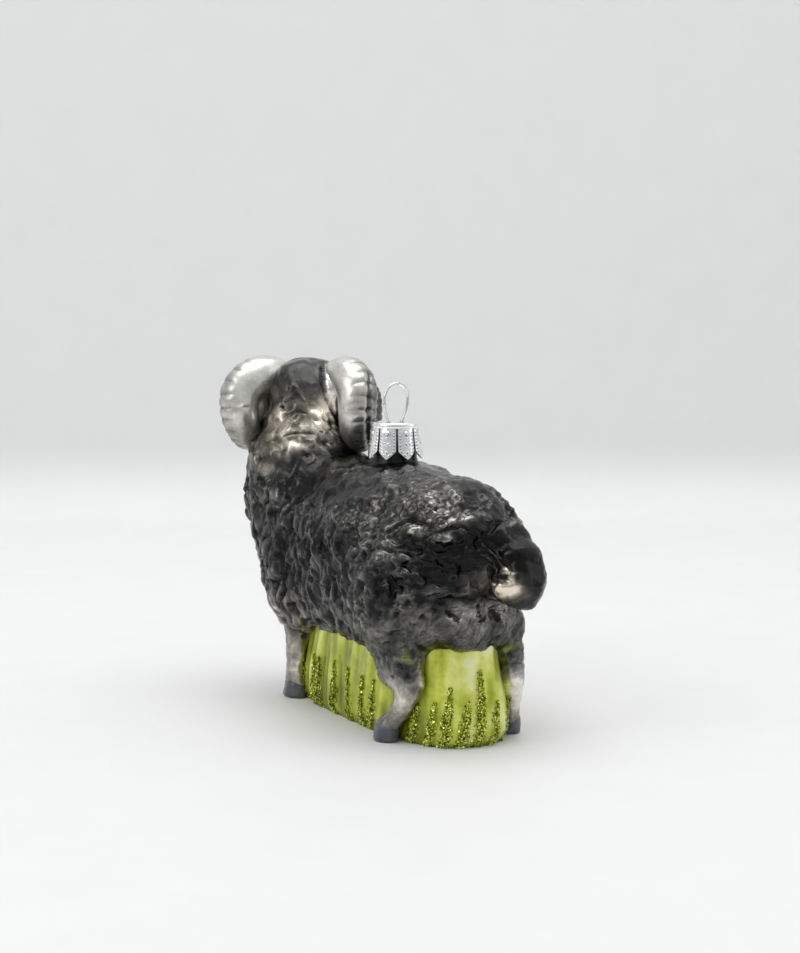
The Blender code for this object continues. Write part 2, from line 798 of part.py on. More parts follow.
def cap():
    """The stamped cap: a round top with two holes for the wire, and a skirt of pointed petals."""
    inner_top = CAP_TOP_Z - CAP_SHEET
    profile = [
        (0, CAP_TOP_Z),
        (CAP_TOP_RADIUS - 0.9, CAP_TOP_Z),
        (CAP_TOP_RADIUS - 0.2, CAP_TOP_Z - 0.35),
        (CAP_TOP_RADIUS, CAP_TOP_Z - 1.0),
        (CAP_TOP_RADIUS + 0.15, CAP_TOP_Z - 3.0),
        (CAP_RIM_RADIUS, PETAL_TIP_Z - 0.5),
        (CAP_RIM_RADIUS - CAP_SHEET, PETAL_TIP_Z - 0.5),
        (CAP_TOP_RADIUS + 0.15 - CAP_SHEET, CAP_TOP_Z - 3.0),
        (CAP_TOP_RADIUS - CAP_SHEET, CAP_TOP_Z - 1.0),
        (CAP_TOP_RADIUS - 0.9, inner_top),
        (0, inner_top),
    ]
    obj = turned("cap", profile, 32)
    combine(obj, [petal_slit(k) for k in range(PETALS)], "DIFFERENCE")
    holes = []
    for x in (-LEG_SPREAD, LEG_SPREAD):
        hole = turned("hole", [(0, 60), (WIRE_RADIUS + GAP, 60), (WIRE_RADIUS + GAP, 70), (0, 70)], 10)
        hole.data.transform(Matrix.Translation((x, 0, 0)))
        holes.append(hole)
    combine(obj, holes, "DIFFERENCE")
    obj.name = "cap"
    return largest_body(obj)


def hanger():
    """The wire loop, whose two legs go down through the cap."""
    bottom = NECK_MOUTH_Z + GAP
    rise = LOOP_TOP_Z - WIRE_RADIUS - LOOP_WIDEST_Z
    drop = (LOOP_WIDEST_Z - CAP_TOP_Z - 0.4) / math.sin(math.radians(52))
    points = [Vector((-LEG_SPREAD, 0, bottom)), Vector((-LEG_SPREAD, 0, CAP_TOP_Z))]
    for k in range(19):
        angle = math.radians(232 - 284 * k / 18)
        x = (LOOP_HALF_WIDTH - WIRE_RADIUS) * math.cos(angle)
        z = LOOP_WIDEST_Z + (rise if math.sin(angle) > 0 else drop) * math.sin(angle)
        lean = LOOP_LEAN * (z - CAP_TOP_Z) / (LOOP_TOP_Z - CAP_TOP_Z)
        points.append(Vector((x + lean, 0, z)))
    points += [Vector((LEG_SPREAD, 0, CAP_TOP_Z)), Vector((LEG_SPREAD, 0, bottom))]
    obj = wire(points, WIRE_RADIUS, 8)
    obj.name = "hanger"
    return obj


def wire(points, radius, sides):
    """A round wire that stays in the plane of X and Z."""
    bm = bmesh.new()
    rings = []
    for i, centre in enumerate(points):
        ahead = points[min(i + 1, len(points) - 1)]
        behind = points[max(i - 1, 0)]
        direction = (ahead - behind).normalized()
        side = Vector((0, 1, 0))
        front = direction.cross(side)
        ring = []
        for k in range(sides):
            angle = math.tau * k / sides
            offset = side * (radius * math.cos(angle)) + front * (radius * math.sin(angle))
            ring.append(bm.verts.new(centre + offset))
        rings.append(ring)
    join_rings(bm, rings)
    return object_from(bm, "wire")


def paint(name, colour, roughness, metallic):
    material = bpy.data.materials.new(name)
    material.use_nodes = True
    shader = material.node_tree.nodes["Principled BSDF"]
    shader.inputs["Base Color"].default_value = (*colour, 1.0)
    shader.inputs["Roughness"].default_value = roughness
    shader.inputs["Metallic"].default_value = metallic
    return material


def finish(nodes):
    """Gives each node its own material, in metres, smooth where it is round."""
    looks = {
        "horn": ("silver_white_lacquer", (0.62, 0.61, 0.56), 0.35, 0.6),
        "hoof": ("slate_lacquer", (0.07, 0.08, 0.11), 0.4, 0.0),
        "grass": ("lime_lacquer", (0.36, 0.46, 0.06), 0.4, 0.2),
        "eye": ("black_gloss", (0.01, 0.01, 0.01), 0.15, 0.0),
        "cap": ("stamped_silver", (0.85, 0.86, 0.88), 0.2, 1.0),
        "hanger": ("steel_wire", (0.75, 0.76, 0.78), 0.2, 1.0),
        "glass_neck": ("black_lacquer", (0.015, 0.015, 0.018), 0.3, 0.2),
    }
    smoke = ("smoke_grey_lacquer", (0.09, 0.088, 0.083), 0.4, 0.5)
    for node in nodes:
        look = next((value for key, value in looks.items() if node.name.startswith(key)), smoke)
        node.data.transform(Matrix.Scale(METRES_PER_MM, 4))
        node.data.name = node.name
        node.data.materials.clear()
        node.data.materials.append(paint(f"{look[0]}_{node.name}", *look[1:]))
        node.data.shade_smooth()
        node.data.set_sharp_from_angle(angle=math.radians(50))


def main():
    clear_scene()
    whole = glass_ram()
    nodes = [torso(whole)]
    nodes.append(part_of(whole, "neck", [neck_space(GAP)], [head_space(-GAP)]))
    head = part_of(whole, "head", [head_space(0)])
    nodes.append(part_of(whole, "tail", [tail_space(GAP)]))
    nodes += legs_and_hooves(whole)
    room = room_round(whole)
    for hand, side in (("right", 1), ("left", -1)):
        coil = largest_body(combine(horn(f"horn_{hand}", side), [copy_of(room)], "DIFFERENCE"))
        lobe = combine(ear(f"ear_{hand}", side), [copy_of(room)], "DIFFERENCE")
        lobe = largest_body(combine(lobe, [grown(coil, GAP)], "DIFFERENCE"))
        dome = combine(eye(f"eye_{hand}", side), [grown(whole, GAP / 2)], "DIFFERENCE")
        nodes += [coil, lobe, largest_body(dome)]
    nodes.append(head)
    nodes.append(grass(copy_of(room)))
    nodes.append(glass_neck(room))
    nodes += [cap(), hanger()]
    bpy.data.objects.remove(whole, do_unlink=True)
    finish(nodes)


main()
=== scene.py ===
import math
import random

import bpy
import numpy as np
from mathutils import Matrix, Vector, bvhtree, kdtree, noise


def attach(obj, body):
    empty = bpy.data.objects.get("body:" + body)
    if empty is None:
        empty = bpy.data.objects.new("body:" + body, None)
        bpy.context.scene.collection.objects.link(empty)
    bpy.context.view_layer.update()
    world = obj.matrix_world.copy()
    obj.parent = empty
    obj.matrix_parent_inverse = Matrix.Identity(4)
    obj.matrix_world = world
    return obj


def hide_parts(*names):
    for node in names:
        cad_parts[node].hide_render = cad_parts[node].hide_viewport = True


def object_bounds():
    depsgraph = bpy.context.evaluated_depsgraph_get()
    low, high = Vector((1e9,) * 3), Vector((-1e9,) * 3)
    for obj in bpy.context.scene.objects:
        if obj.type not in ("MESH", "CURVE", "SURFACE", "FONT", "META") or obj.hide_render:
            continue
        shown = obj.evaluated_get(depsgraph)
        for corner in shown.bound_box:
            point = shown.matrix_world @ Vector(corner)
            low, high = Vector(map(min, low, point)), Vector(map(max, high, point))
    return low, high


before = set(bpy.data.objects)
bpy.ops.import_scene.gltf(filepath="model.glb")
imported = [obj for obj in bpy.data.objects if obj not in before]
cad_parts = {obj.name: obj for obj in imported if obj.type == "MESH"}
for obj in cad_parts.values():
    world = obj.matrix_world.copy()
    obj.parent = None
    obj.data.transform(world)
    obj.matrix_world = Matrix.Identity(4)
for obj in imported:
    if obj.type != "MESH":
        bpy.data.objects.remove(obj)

# The glass ram ornament is dressed in the solid model's own frame: +Y is the way the body faces,
# +X is the ram's right and +Z is up. Shapes are worked out in millimetres and written in metres.
MM = 0.001
CAD_BOX = [list(corner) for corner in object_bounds()]

# The view of the photograph: from behind the ram's left hip and a little above it.
CAMERA_TURN = math.radians(-27)
CAMERA_DIP = math.radians(5.4)
CAMERA_REACH = 0.459
CAMERA_SIDE = 0.0011
CAMERA_HEIGHT = 0.098
LENS = 76.7
SENSOR = 36.0
PHOTO_WIDE, PHOTO_HIGH = 800, 953
FOCAL_PIXELS = LENS / SENSOR * PHOTO_HIGH
PIXEL = 0.226

# The blown skin. It is fused from these nodes: SEAM_FILL closes the thin cuts between them, SKIN_VOXEL is
# the skin's fineness and SKIN_EASE is how often it is smoothed before the relief goes on.
FLESH = [
    "torso", "neck", "head", "tail", "ear_left", "ear_right",
    "leg_front_left", "leg_front_right", "leg_hind_left", "leg_hind_right",
    "hoof_front_left", "hoof_front_right", "hoof_hind_left", "hoof_hind_right",
]
HOOVES = [name for name in FLESH if name.startswith("hoof")]
SEAM_FILL = 0.25
SKIN_VOXEL = 0.34
SKIN_EASE = 22
SKIN_FACES = 190000
SEWN_WITHIN = 0.002
# Above and ahead of these the neck and head are turned, so that what is on one side isn't on the other.
TURNED_ABOVE, TURNED_AHEAD = 50.0, 20.0
# The slate paint of the hooves ends at this height, and higher on their outer sides.
HOOF_LINE, HOOF_SLANT = 3.1, 0.34
# What the marks do to the skin: how far they reach, and how much they raise it, thin it and fill it. The
# thinning on the raised locks and mounds is partly a painted highlight.
LINE_REACH = 2.0
MARK_DEPTH = 7.0
MOUND_RISE = 1.35
PIT_DEPTH = 0.45
LOCK_THINS_AND_HIGHLIGHT, MOUND_THINS_AND_HIGHLIGHT = 0.55, 0.46
CREASE_FILLS, PIT_FILLS = 0.95, 0.55
RING_HALF_WIDTH, RING_HEIGHT = 0.28, 0.34
RING_SWEEP, RING_STEPS = 0.86, 22
PATH_STEPS = 7

# The head's own frame, turned to the ram's right.
HEAD_CENTRE = Vector((-4.0, 39.7, 69.0))
HEAD_TURN = math.radians(-41)

# The horns: one coil each, in the head's frame.
COIL_CENTRE = Vector((0.0, -1.5, -0.8))
COIL_REACH_Y = 6.4
COIL_REACH_Z = 7.6
COIL_START = -25.0
COIL_END = 324.0
HORN_BASE_RADIUS = 5.3
HORN_TIP_RADIUS = 1.7
HORN_RIDGES = 22
HORN_RIDGE_HEIGHT = 0.34
HORN_VOXEL = 0.26
HORN_RINGS, HORN_SIDES = 120, 48
COIL_STEPS = 240
HORN_PLUG_OUT = 11.8
HORN_PLUG_RADII = (3.4, 4.6, 5.2)

# The eyes, in the head's frame.
EYE_CENTRE = (6.0, 7.0, 0.4)
EYE_RADII = (1.7, 2.0, 1.7)
EYE_LOOKS = (0.86, 0.48, 0.12)
EYE_RIM = 1.9

# The tuft of grass and its glitter.
GRASS_CENTRE_Y = -2.5
GRASS_HALF_LENGTH = 37.0
GRASS_HALF_WIDTH = 12.8
GRASS_TOP_Z = 22.5
GRASS_SQUARENESS = 3.0
GRASS_SIDES = 400
GRASS_LEVEL = 0.55
OUTLINE_STEPS = 2881
GLUE_HEIGHT = 0.40
STROKE_SPREAD = 0.72
STROKE_TAPER, STROKE_POINT, STROKE_CURVE = 0.72, 2.2, 1.3
STROKE_SEED, FLAKE_SEED = 21, 8
FLAKE_RADIUS = 0.23
FLAKE_SMALLEST, FLAKE_LARGEST = 0.7, 1.25
FLAKE_SIDES, FLAKE_DEPTH, FLAKE_NARROW = 5, 0.3, 0.86
FLAKE_SCATTER, FLAKE_STRAY = 0.52, 1.2
FLAKE_PILE = 0.16
FLAKE_TILT = 0.5
FLAKES_PER_MM2 = 25.0
HIDDEN_FLAKES = 0.45
# Each glitter stroke: how far round the outline it stands, its height, its lean and its width.
SEEN_STROKES = [
    (66.0, 12.0, 1.2, 2.3), (69.6, 12.0, 1.0, 2.0), (78.0, 12.6, 1.4, 2.0), (86.6, 12.2, 0.2, 2.0),
    (93.4, 11.6, 0.9, 1.9), (97.4, 11.6, 2.2, 2.2), (113.8, 8.8, 2.6, 1.9), (119.0, 9.8, 1.6, 1.8),
    (122.9, 13.2, 1.5, 1.7), (126.7, 10.2, 1.4, 1.8), (130.6, 16.4, 0.8, 1.9), (134.5, 9.8, 0.6, 1.7),
]
HIDDEN_STROKE_PITCH = 4.6
HIDDEN_FROM, HIDDEN_TO = 139.5, 235.0

# The cap, its petals, the glass neck and the wire.
CAP_TOP_Z = 67.1
CAP_TOP_RADIUS = 5.3
CAP_RIM_RADIUS = 6.2
CAP_SHEET = 0.22
PETALS = 8
PETAL_TIP_Z = 58.95
PETAL_POINT = 1.8
PETAL_COLUMNS, PETAL_ROWS = 40, 84
DASH_PITCH = 0.72
BOSS_BELOW_TOP, STEM_BELOW_TOP = 2.3, 3.5
DOT_ABOVE_TIP, LEAF_ABOVE_TIP = 1.5, 3.2
WIRE_HOLE_RADIUS = 0.62
# The rounded edge of the cap's top: how far below the top and how far in from the side, from the outside in.
CAP_SHOULDER = [
    (1.25, -0.02), (1.0, -0.04), (0.75, -0.05), (0.5, -0.02), (0.3, 0.08),
    (0.15, 0.22), (0.05, 0.42), (0.0, 0.68), (0.05, 1.05), (0.16, 1.6),
]
NECK_RADIUS = 4.3
NECK_FOOT_Z = 55.0
NECK_MOUTH_Z = 64.8
# The neck's outside: heights, and how much wider than the tube it is there.
NECK_PROFILE = [
    (NECK_FOOT_Z, 1.7), (NECK_FOOT_Z + 2.2, 1.35), (NECK_FOOT_Z + 3.2, 0.9), (NECK_FOOT_Z + 4.0, 0.65),
    (NECK_FOOT_Z + 5.0, 0.55), (NECK_FOOT_Z + 6.2, 0.5), (NECK_MOUTH_Z - 0.6, 0.3),
    (NECK_MOUTH_Z - 0.2, 0.1), (NECK_MOUTH_Z, -0.3),
]
WIRE_RADIUS = 0.36
LEG_SPREAD = 1.65
LOOP_TOP_Z = 76.1
LOOP_HALF_WIDTH = 3.3
LOOP_LEAN = 0.55
LOOP_WIDEST_Z = 72.2
LOOP_OPENING = 52
LOOP_STEPS = 72
WIRE_SIDES = 16

# The paper that it stands on, in metres, and the light round it.
PAPER_WIDTH = 4.0
PAPER_DEPTH = 2.0
PAPER_BEND_AT = 0.37
PAPER_BEND = 0.03
PAPER_HEIGHT = 1.4
PAPER_BEND_STEPS = 14
ROOM_DIM, ROOM_BRIGHT = 0.40, 0.88
ROOM_TINT = (0.97, 0.985, 1.0, 1.0)
BACKDROP = (0.66, 0.66, 0.66, 1.0)
# Each soft light: its name, its place as the camera looks at the ram, what it points at, size and power.
SOFT_BOXES = [
    ("overhead", (0.0, 0.05, 0.95), (0, 0, 0), (0.9, 0.7), 4.5),
    ("left_window", (-0.75, -0.45, 0.60), (0, 0, 0.04), (0.45, 0.55), 1.35),
    ("right_window", (0.95, 0.10, 0.45), (0, 0, 0.04), (0.45, 0.6), 0.45),
]


# --- Small tools ---------------------------------------------------------------------------------


def ease(value, low, high):
    """0 below low, 1 above high, and a smooth step between, for one number or a whole array."""
    t = np.clip((np.asarray(value, float) - low) / (high - low), 0.0, 1.0)
    return t * t * (3 - 2 * t)


def hill(value, centre, spread):
    """1 at the centre, and less and less on both sides of it."""
    return np.exp(-(((np.asarray(value, float) - centre) / spread) ** 2))


def let_go():
    """Deselects everything."""
    bpy.ops.object.select_all(action="DESELECT")


def take(*pieces):
    """Selects only these pieces, and makes the first one active."""
    let_go()
    for piece in pieces:
        piece.select_set(True)
    bpy.context.view_layer.objects.active = pieces[0]
    return pieces[0]


def apply_all(piece):
    """Applies a piece's modifiers."""
    take(piece)
    for modifier in list(piece.modifiers):
        bpy.ops.object.modifier_apply(modifier=modifier.name)
    return piece


def put_in(name, data):
    """A new object in the scene that shows this mesh, light or camera."""
    made = bpy.data.objects.new(name, data)
    bpy.context.scene.collection.objects.link(made)
    return made


def edit_all():
    """Opens the active piece in edit mode with all of it selected."""
    bpy.ops.object.mode_set(mode="EDIT")
    bpy.ops.mesh.select_all(action="SELECT")


def leave_edit():
    bpy.ops.object.mode_set(mode="OBJECT")


def pull_up(rise):
    """Extrudes what is selected this far, in the mesh's own units."""
    bpy.ops.mesh.extrude_region_move(TRANSFORM_OT_translate={"value": rise})


def named(piece, name):
    piece.name = name
    piece.data.name = name
    return piece


def points_of(piece):
    """Where a piece's vertices are, in millimetres."""
    points = np.empty(len(piece.data.vertices) * 3)
    piece.data.vertices.foreach_get("co", points)
    return points.reshape(-1, 3) / MM


def normals_of(piece):
    normals = np.empty(len(piece.data.vertices) * 3, np.float32)
    piece.data.vertex_normals.foreach_get("vector", normals)
    return normals.reshape(-1, 3).astype(float)


def move_points(piece, points):
    piece.data.vertices.foreach_set("co", (np.asarray(points) * MM).ravel())
    piece.data.update()


def paint_value(piece, name, values):
    """Stores one number a vertex, which a material reads by its name."""
    layer = piece.data.attributes.get(name) or piece.data.attributes.new(name, "FLOAT", "POINT")
    layer.data.foreach_set("value", np.asarray(values, np.float32))


def face_out(piece):
    """Turns all faces of a piece to face outward."""
    take(piece)
    edit_all()
    bpy.ops.mesh.normals_make_consistent(inside=False)
    leave_edit()


def copy_of_nodes(names, name):
    """One piece that holds copies of solid nodes, each with its loose triangles sewn together."""
    copies = [put_in(source + "_copy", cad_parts[source].data.copy()) for source in names]
    for twin in copies:
        twin.data.materials.clear()
    take(*copies)
    bpy.ops.object.join()
    edit_all()
    bpy.ops.mesh.remove_doubles(threshold=SEWN_WITHIN * MM)
    bpy.ops.mesh.normals_make_consistent(inside=False)
    leave_edit()
    return named(bpy.context.view_layer.objects.active, name)


def offset(piece, name, distance):
    """Moves a skin out or in all over."""
    shift = piece.modifiers.new(name, "DISPLACE")
    shift.strength = distance * MM
    shift.mid_level = 0.0


def melt(piece, voxel, fill, rounds):
    """Fuses what a piece holds into one skin. Fill closes the narrow gaps first and is taken off after."""
    if fill:
        offset(piece, "swell", fill)
    remesh = piece.modifiers.new("fuse", "REMESH")
    remesh.mode = "VOXEL"
    remesh.voxel_size = voxel * MM
    soften = piece.modifiers.new("soften", "SMOOTH")
    soften.factor = 0.5
    soften.iterations = rounds
    if fill:
        offset(piece, "shrink", -fill)
    return apply_all(piece)


def waves(points, sizes, shift=0.0):
    """Smooth noise from about -1 to 1 whose features are this many millimetres long each way."""
    scaled = points / np.asarray(sizes, float) + shift
    return np.array([noise.noise(Vector(p)) for p in scaled])


def ropes(points, sizes, shift=0.0):
    """1 along the crests of a net of wavy ridges, and 0 between them."""
    return 1 - np.clip(np.abs(waves(points, sizes, shift)) * 3.4, 0, 1) ** 0.8


def cells(points, sizes, shift=0.0):
    """Distances to the nearest and second nearest cell centre, and the way from the nearest, in cells."""
    sizes = np.asarray(sizes, float)
    scaled = points / sizes + shift
    near, far, away = np.empty(len(points)), np.empty(len(points)), np.empty((len(points), 3))
    for i, place in enumerate(scaled):
        spans, centres = noise.voronoi(Vector(place))
        near[i], far[i] = spans[0], spans[1]
        away[i] = place - np.array(centres[0])
    return near, far, away


def lumps(points, sizes, shift=0.0):
    """Rounded lumps, 1 at the middle of each and 0 in the creases between them."""
    near, far, _ = cells(points, sizes, shift)
    return np.clip(1.15 - near**2 * 1.6, 0, 1) * ease(far - near, 0.0, 0.32)


def curls(points, normals, size, shift=0.0):
    """Ring-shaped curls that lie in the skin, each open on one side."""
    near, far, away = cells(points, (size, size, size), shift)
    across = np.cross(normals, (0.0, 0.0, 1.0)) + np.array((1e-4, 0, 0))
    across /= np.linalg.norm(across, axis=1)[:, None]
    upward = np.cross(across, normals)
    u, v = (away * across).sum(1), (away * upward).sum(1)
    radius, angle = np.hypot(u, v), np.arctan2(v, u)
    ring = hill(radius + 0.035 * angle, 0.36, 0.15)
    return ring * ease(far - near, 0.0, 0.18)


# --- Materials -----------------------------------------------------------------------------------


def node(tree, kind, inputs=None, **fields):
    """A shader node with its fields set, and its inputs given a value or a link."""
    made = tree.nodes.new(kind)
    for key, value in fields.items():
        setattr(made, key, value)
    for key, value in (inputs or {}).items():
        if isinstance(value, bpy.types.NodeSocket):
            tree.links.new(value, made.inputs[key])
        else:
            made.inputs[key].default_value = value
    return made


def new_finish(name):
    """A material with its tree, its shader and the piece's own coordinates."""
    finish = bpy.data.materials.new(name)
    finish.use_nodes = True
    tree = finish.node_tree
    shader = tree.nodes["Principled BSDF"]
    place = node(tree, "ShaderNodeTexCoord").outputs["Object"]
    return finish, tree, shader, place


def grain(tree, place, scale, detail=3.0, rough=0.55):
    """Noise of this many features a metre."""
    inputs = {"Vector": place, "Scale": scale, "Detail": detail, "Roughness": rough}
    return node(tree, "ShaderNodeTexNoise", inputs).outputs["Fac"]


def sum_of(tree, first, second, factor=1.0):
    """first + second * factor."""
    return node(tree, "ShaderNodeMath", {0: second, 1: factor, 2: first}, operation="MULTIPLY_ADD").outputs[0]


def spread(tree, value, low, high, to_low, to_high):
    """A value between low and high, stretched to lie between two others."""
    inputs = {"Value": value, "From Min": low, "From Max": high, "To Min": to_low, "To Max": to_high}
    return node(tree, "ShaderNodeMapRange", inputs).outputs["Result"]


def ramp(tree, value, stops):
    """A colour for each value, from (position, colour) stops."""
    made = node(tree, "ShaderNodeValToRGB", {"Fac": value})
    band = made.color_ramp
    while len(band.elements) < len(stops):
        band.elements.new(0.5)
    for element, (position, colour) in zip(band.elements, stops):
        element.position = position
        element.color = (*colour, 1.0)
    return made.outputs["Color"]


def mixed(tree, share, first, second, blend="MIX"):
    made = node(tree, "ShaderNodeMix", data_type="RGBA", blend_type=blend)
    for index, value in ((0, share), (6, first), (7, second)):
        socket = made.inputs[index]
        if isinstance(value, bpy.types.NodeSocket):
            tree.links.new(value, socket)
        elif index:
            socket.default_value = (*value, 1.0)
        else:
            socket.default_value = value
    return made.outputs[2]


def stored(tree, name):
    """A number that paint_value has stored in the mesh."""
    return node(tree, "ShaderNodeAttribute", attribute_name=name).outputs["Fac"]


def clouded(tree, value, noise, amount, low=0.3, high=0.7):
    """A value made uneven by this much of a noise."""
    return sum_of(tree, value, spread(tree, noise, low, high, -0.5, 0.5), amount)


def colour_by(tree, shader, value, stops):
    """The finish takes its colour from a ramp."""
    tree.links.new(ramp(tree, value, stops), shader.inputs["Base Color"])


def gloss(tree, shader, noise, low, high):
    """Roughness that wanders between two values."""
    tree.links.new(spread(tree, noise, 0.3, 0.7, low, high), shader.inputs["Roughness"])


def fixed(shader, **values):
    """Sets what is the same all over: each name is a socket's own, with _ for its spaces."""
    for name, value in values.items():
        shader.inputs[name.replace("_", " ")].default_value = value


def dent(tree, shader, height, strength, depth_mm):
    """Fine unevenness that only the light shows."""
    inputs = {"Height": height, "Strength": strength, "Distance": depth_mm * MM}
    tree.links.new(node(tree, "ShaderNodeBump", inputs).outputs["Normal"], shader.inputs["Normal"])


def smoke_lacquer():
    """Silvered glass under a grey lacquer that pools nearly black in the pits. The crests are lighter, partly
    from thinner lacquer and partly as a painted highlight, and some spots hold painted highlights and painted
    shade.
    """
    finish, tree, shader, place = new_finish("smoke_lacquer_over_silver")
    cloud = grain(tree, place, 240, 4.0)
    mist = grain(tree, place, 950, 3.0)
    lacquer_and_light = clouded(tree, clouded(tree, stored(tree, "lacquer"), cloud, 0.12), mist, 0.12)
    colour = ramp(tree, lacquer_and_light, [
        (0.0, (0.82, 0.80, 0.755)), (0.125, (0.48, 0.465, 0.435)), (0.25, (0.285, 0.275, 0.255)),
        (0.375, (0.165, 0.16, 0.148)), (0.5, (0.094, 0.091, 0.086)), (0.625, (0.054, 0.053, 0.051)),
        (0.75, (0.030, 0.030, 0.030)), (0.875, (0.0165, 0.0165, 0.017)), (1.0, (0.008, 0.008, 0.008)),
    ])
    warmer = mixed(tree, 1.0, colour, (1.0, 0.92, 0.80), "MULTIPLY")
    colour = mixed(tree, stored(tree, "warmth"), colour, warmer)
    colour = mixed(tree, stored(tree, "lime"), colour, (0.30, 0.36, 0.07))
    tree.links.new(colour, shader.inputs["Base Color"])
    tree.links.new(spread(tree, lacquer_and_light, 0.2, 1.0, 0.94, 0.86), shader.inputs["Metallic"])
    gloss(tree, shader, cloud, 0.15, 0.27)
    fixed(shader, Coat_Weight=0.06, Coat_Roughness=0.10)
    fine = sum_of(tree, grain(tree, place, 1500, 2.0), grain(tree, place, 520, 3.0), 1.2)
    dent(tree, shader, fine, 0.30, 0.14)
    return finish


def hoof_lacquer():
    """Slate paint over silver, a little uneven."""
    finish, tree, shader, place = new_finish("slate_hoof_lacquer")
    cloud = grain(tree, place, 420, 3.0)
    colour_by(tree, shader, cloud, [
        (0.3, (0.070, 0.078, 0.092)), (0.55, (0.098, 0.107, 0.125)), (0.75, (0.15, 0.16, 0.18)),
    ])
    gloss(tree, shader, cloud, 0.30, 0.42)
    fixed(shader, Metallic=0.5, Coat_Weight=0.3, Coat_Roughness=0.2)
    dent(tree, shader, grain(tree, place, 900, 2.0), 0.3, 0.12)
    return finish


def horn_lacquer():
    """Silver-white lacquer, thicker and grey in the grooves."""
    finish, tree, shader, place = new_finish("silver_white_horn_lacquer")
    cloud = grain(tree, place, 300, 4.0)
    mist = grain(tree, place, 1200, 2.0)
    shade = clouded(tree, clouded(tree, stored(tree, "lacquer"), cloud, 0.12), mist, 0.10)
    colour_by(tree, shader, shade, [
        (0.0, (0.84, 0.825, 0.775)), (0.25, (0.54, 0.53, 0.49)), (0.5, (0.30, 0.294, 0.272)),
        (0.75, (0.13, 0.128, 0.122)), (1.0, (0.03, 0.03, 0.03)),
    ])
    tree.links.new(spread(tree, shade, 0.0, 1.0, 0.85, 0.75), shader.inputs["Metallic"])
    gloss(tree, shader, cloud, 0.25, 0.38)
    fixed(shader, Coat_Weight=0.2, Coat_Roughness=0.16)
    dent(tree, shader, sum_of(tree, cloud, mist, 0.5), 0.30, 0.16)
    return finish


def lime_lacquer():
    """Pearly lime paint over silver, with whitish patches where it ran thin."""
    finish, tree, shader, place = new_finish("lime_grass_lacquer")
    cloud = grain(tree, place, 130, 4.0)
    mist = grain(tree, place, 700, 3.0)
    pale = clouded(tree, clouded(tree, stored(tree, "pale"), cloud, 0.34, 0.35, 0.65), mist, 0.16)
    colour = ramp(tree, pale, [
        (0.0, (0.19, 0.235, 0.006)), (0.3, (0.36, 0.42, 0.018)), (0.55, (0.58, 0.63, 0.075)),
        (0.8, (0.76, 0.79, 0.22)), (1.0, (0.88, 0.90, 0.52)),
    ])
    # Dark green on the glue beads, and as painted contact shade along the bottom edge.
    colour = mixed(tree, stored(tree, "glue"), colour, (0.13, 0.17, 0.010))
    tree.links.new(colour, shader.inputs["Base Color"])
    gloss(tree, shader, mist, 0.28, 0.44)
    fixed(shader, Metallic=0.35, Coat_Weight=0.2, Coat_Roughness=0.2)
    dent(tree, shader, sum_of(tree, mist, cloud, 0.8), 0.3, 0.18)
    return finish


def green_glitter():
    """Foil flakes, each its own shade from bottle green to bright yellow-green."""
    finish, tree, shader, place = new_finish("green_foil_glitter")
    colour_by(tree, shader, stored(tree, "flake"), [
        (0.0, (0.012, 0.022, 0.001)), (0.4, (0.14, 0.19, 0.006)), (0.7, (0.52, 0.60, 0.025)),
        (1.0, (1.0, 1.0, 0.36)),
    ])
    gloss(tree, shader, grain(tree, place, 2000), 0.10, 0.26)
    fixed(shader, Metallic=0.9)
    return finish


def stamped_silver():
    """Bright pressed sheet, with painted shade on its embossing and along the petals' edges."""
    finish, tree, shader, place = new_finish("stamped_silver_sheet")
    cloud = grain(tree, place, 700, 3.0)
    colour = ramp(tree, cloud, [(0.3, (0.90, 0.90, 0.91)), (0.6, (0.99, 0.99, 0.99))])
    # The painted shade of the embossing and of the petals' edges.
    colour = mixed(tree, stored(tree, "stamping_shade"), colour, (0.10, 0.10, 0.105))
    tree.links.new(colour, shader.inputs["Base Color"])
    gloss(tree, shader, cloud, 0.09, 0.20)
    fixed(shader, Metallic=1.0)
    dent(tree, shader, grain(tree, place, 1600, 2.0), 0.2, 0.05)
    return finish


def spring_wire():
    """Drawn steel wire, a little brighter in places."""
    finish, tree, shader, place = new_finish("bright_spring_wire")
    cloud = grain(tree, place, 900, 2.0)
    colour_by(tree, shader, cloud, [(0.3, (0.62, 0.63, 0.65)), (0.7, (0.93, 0.93, 0.94))])
    gloss(tree, shader, cloud, 0.08, 0.18)
    fixed(shader, Metallic=1.0)
    return finish


def black_glass():
    """The dipped neck: black gloss, greyer where the lacquer thins."""
    finish, tree, shader, place = new_finish("black_neck_lacquer")
    cloud = grain(tree, place, 500, 3.0)
    colour_by(tree, shader, cloud, [(0.35, (0.006, 0.006, 0.007)), (0.7, (0.03, 0.03, 0.032))])
    gloss(tree, shader, cloud, 0.12, 0.24)
    fixed(shader, Specular_IOR_Level=0.2)
    dent(tree, shader, cloud, 0.15, 0.1)
    return finish


def eye_paint():
    """An amber iris and a black pupil inside a dark rim, under clear gloss."""
    finish, tree, shader, place = new_finish("painted_eye_gloss")
    speck = grain(tree, place, 1400, 3.0)
    ring = clouded(tree, stored(tree, "ring"), speck, 0.08)
    colour_by(tree, shader, ring, [
        (0.0, (0.004, 0.004, 0.004)), (0.34, (0.004, 0.004, 0.004)), (0.4, (0.34, 0.17, 0.03)),
        (0.66, (0.52, 0.30, 0.06)), (0.74, (0.012, 0.010, 0.009)),
    ])
    gloss(tree, shader, speck, 0.1, 0.2)
    fixed(shader, Coat_Weight=0.8, Coat_Roughness=0.05)
    return finish


def pale_paper():
    """Matt white paper with a faint cloudiness."""
    finish, tree, shader, place = new_finish("pale_paper")
    fibre = grain(tree, place, 60, 3.0)
    colour_by(tree, shader, fibre, [(0.3, (0.765, 0.765, 0.76)), (0.7, (0.78, 0.78, 0.775))])
    fixed(shader, Roughness=0.6)
    return finish


# --- What the photograph shows of the coat, by its pixels ----------------------------------------

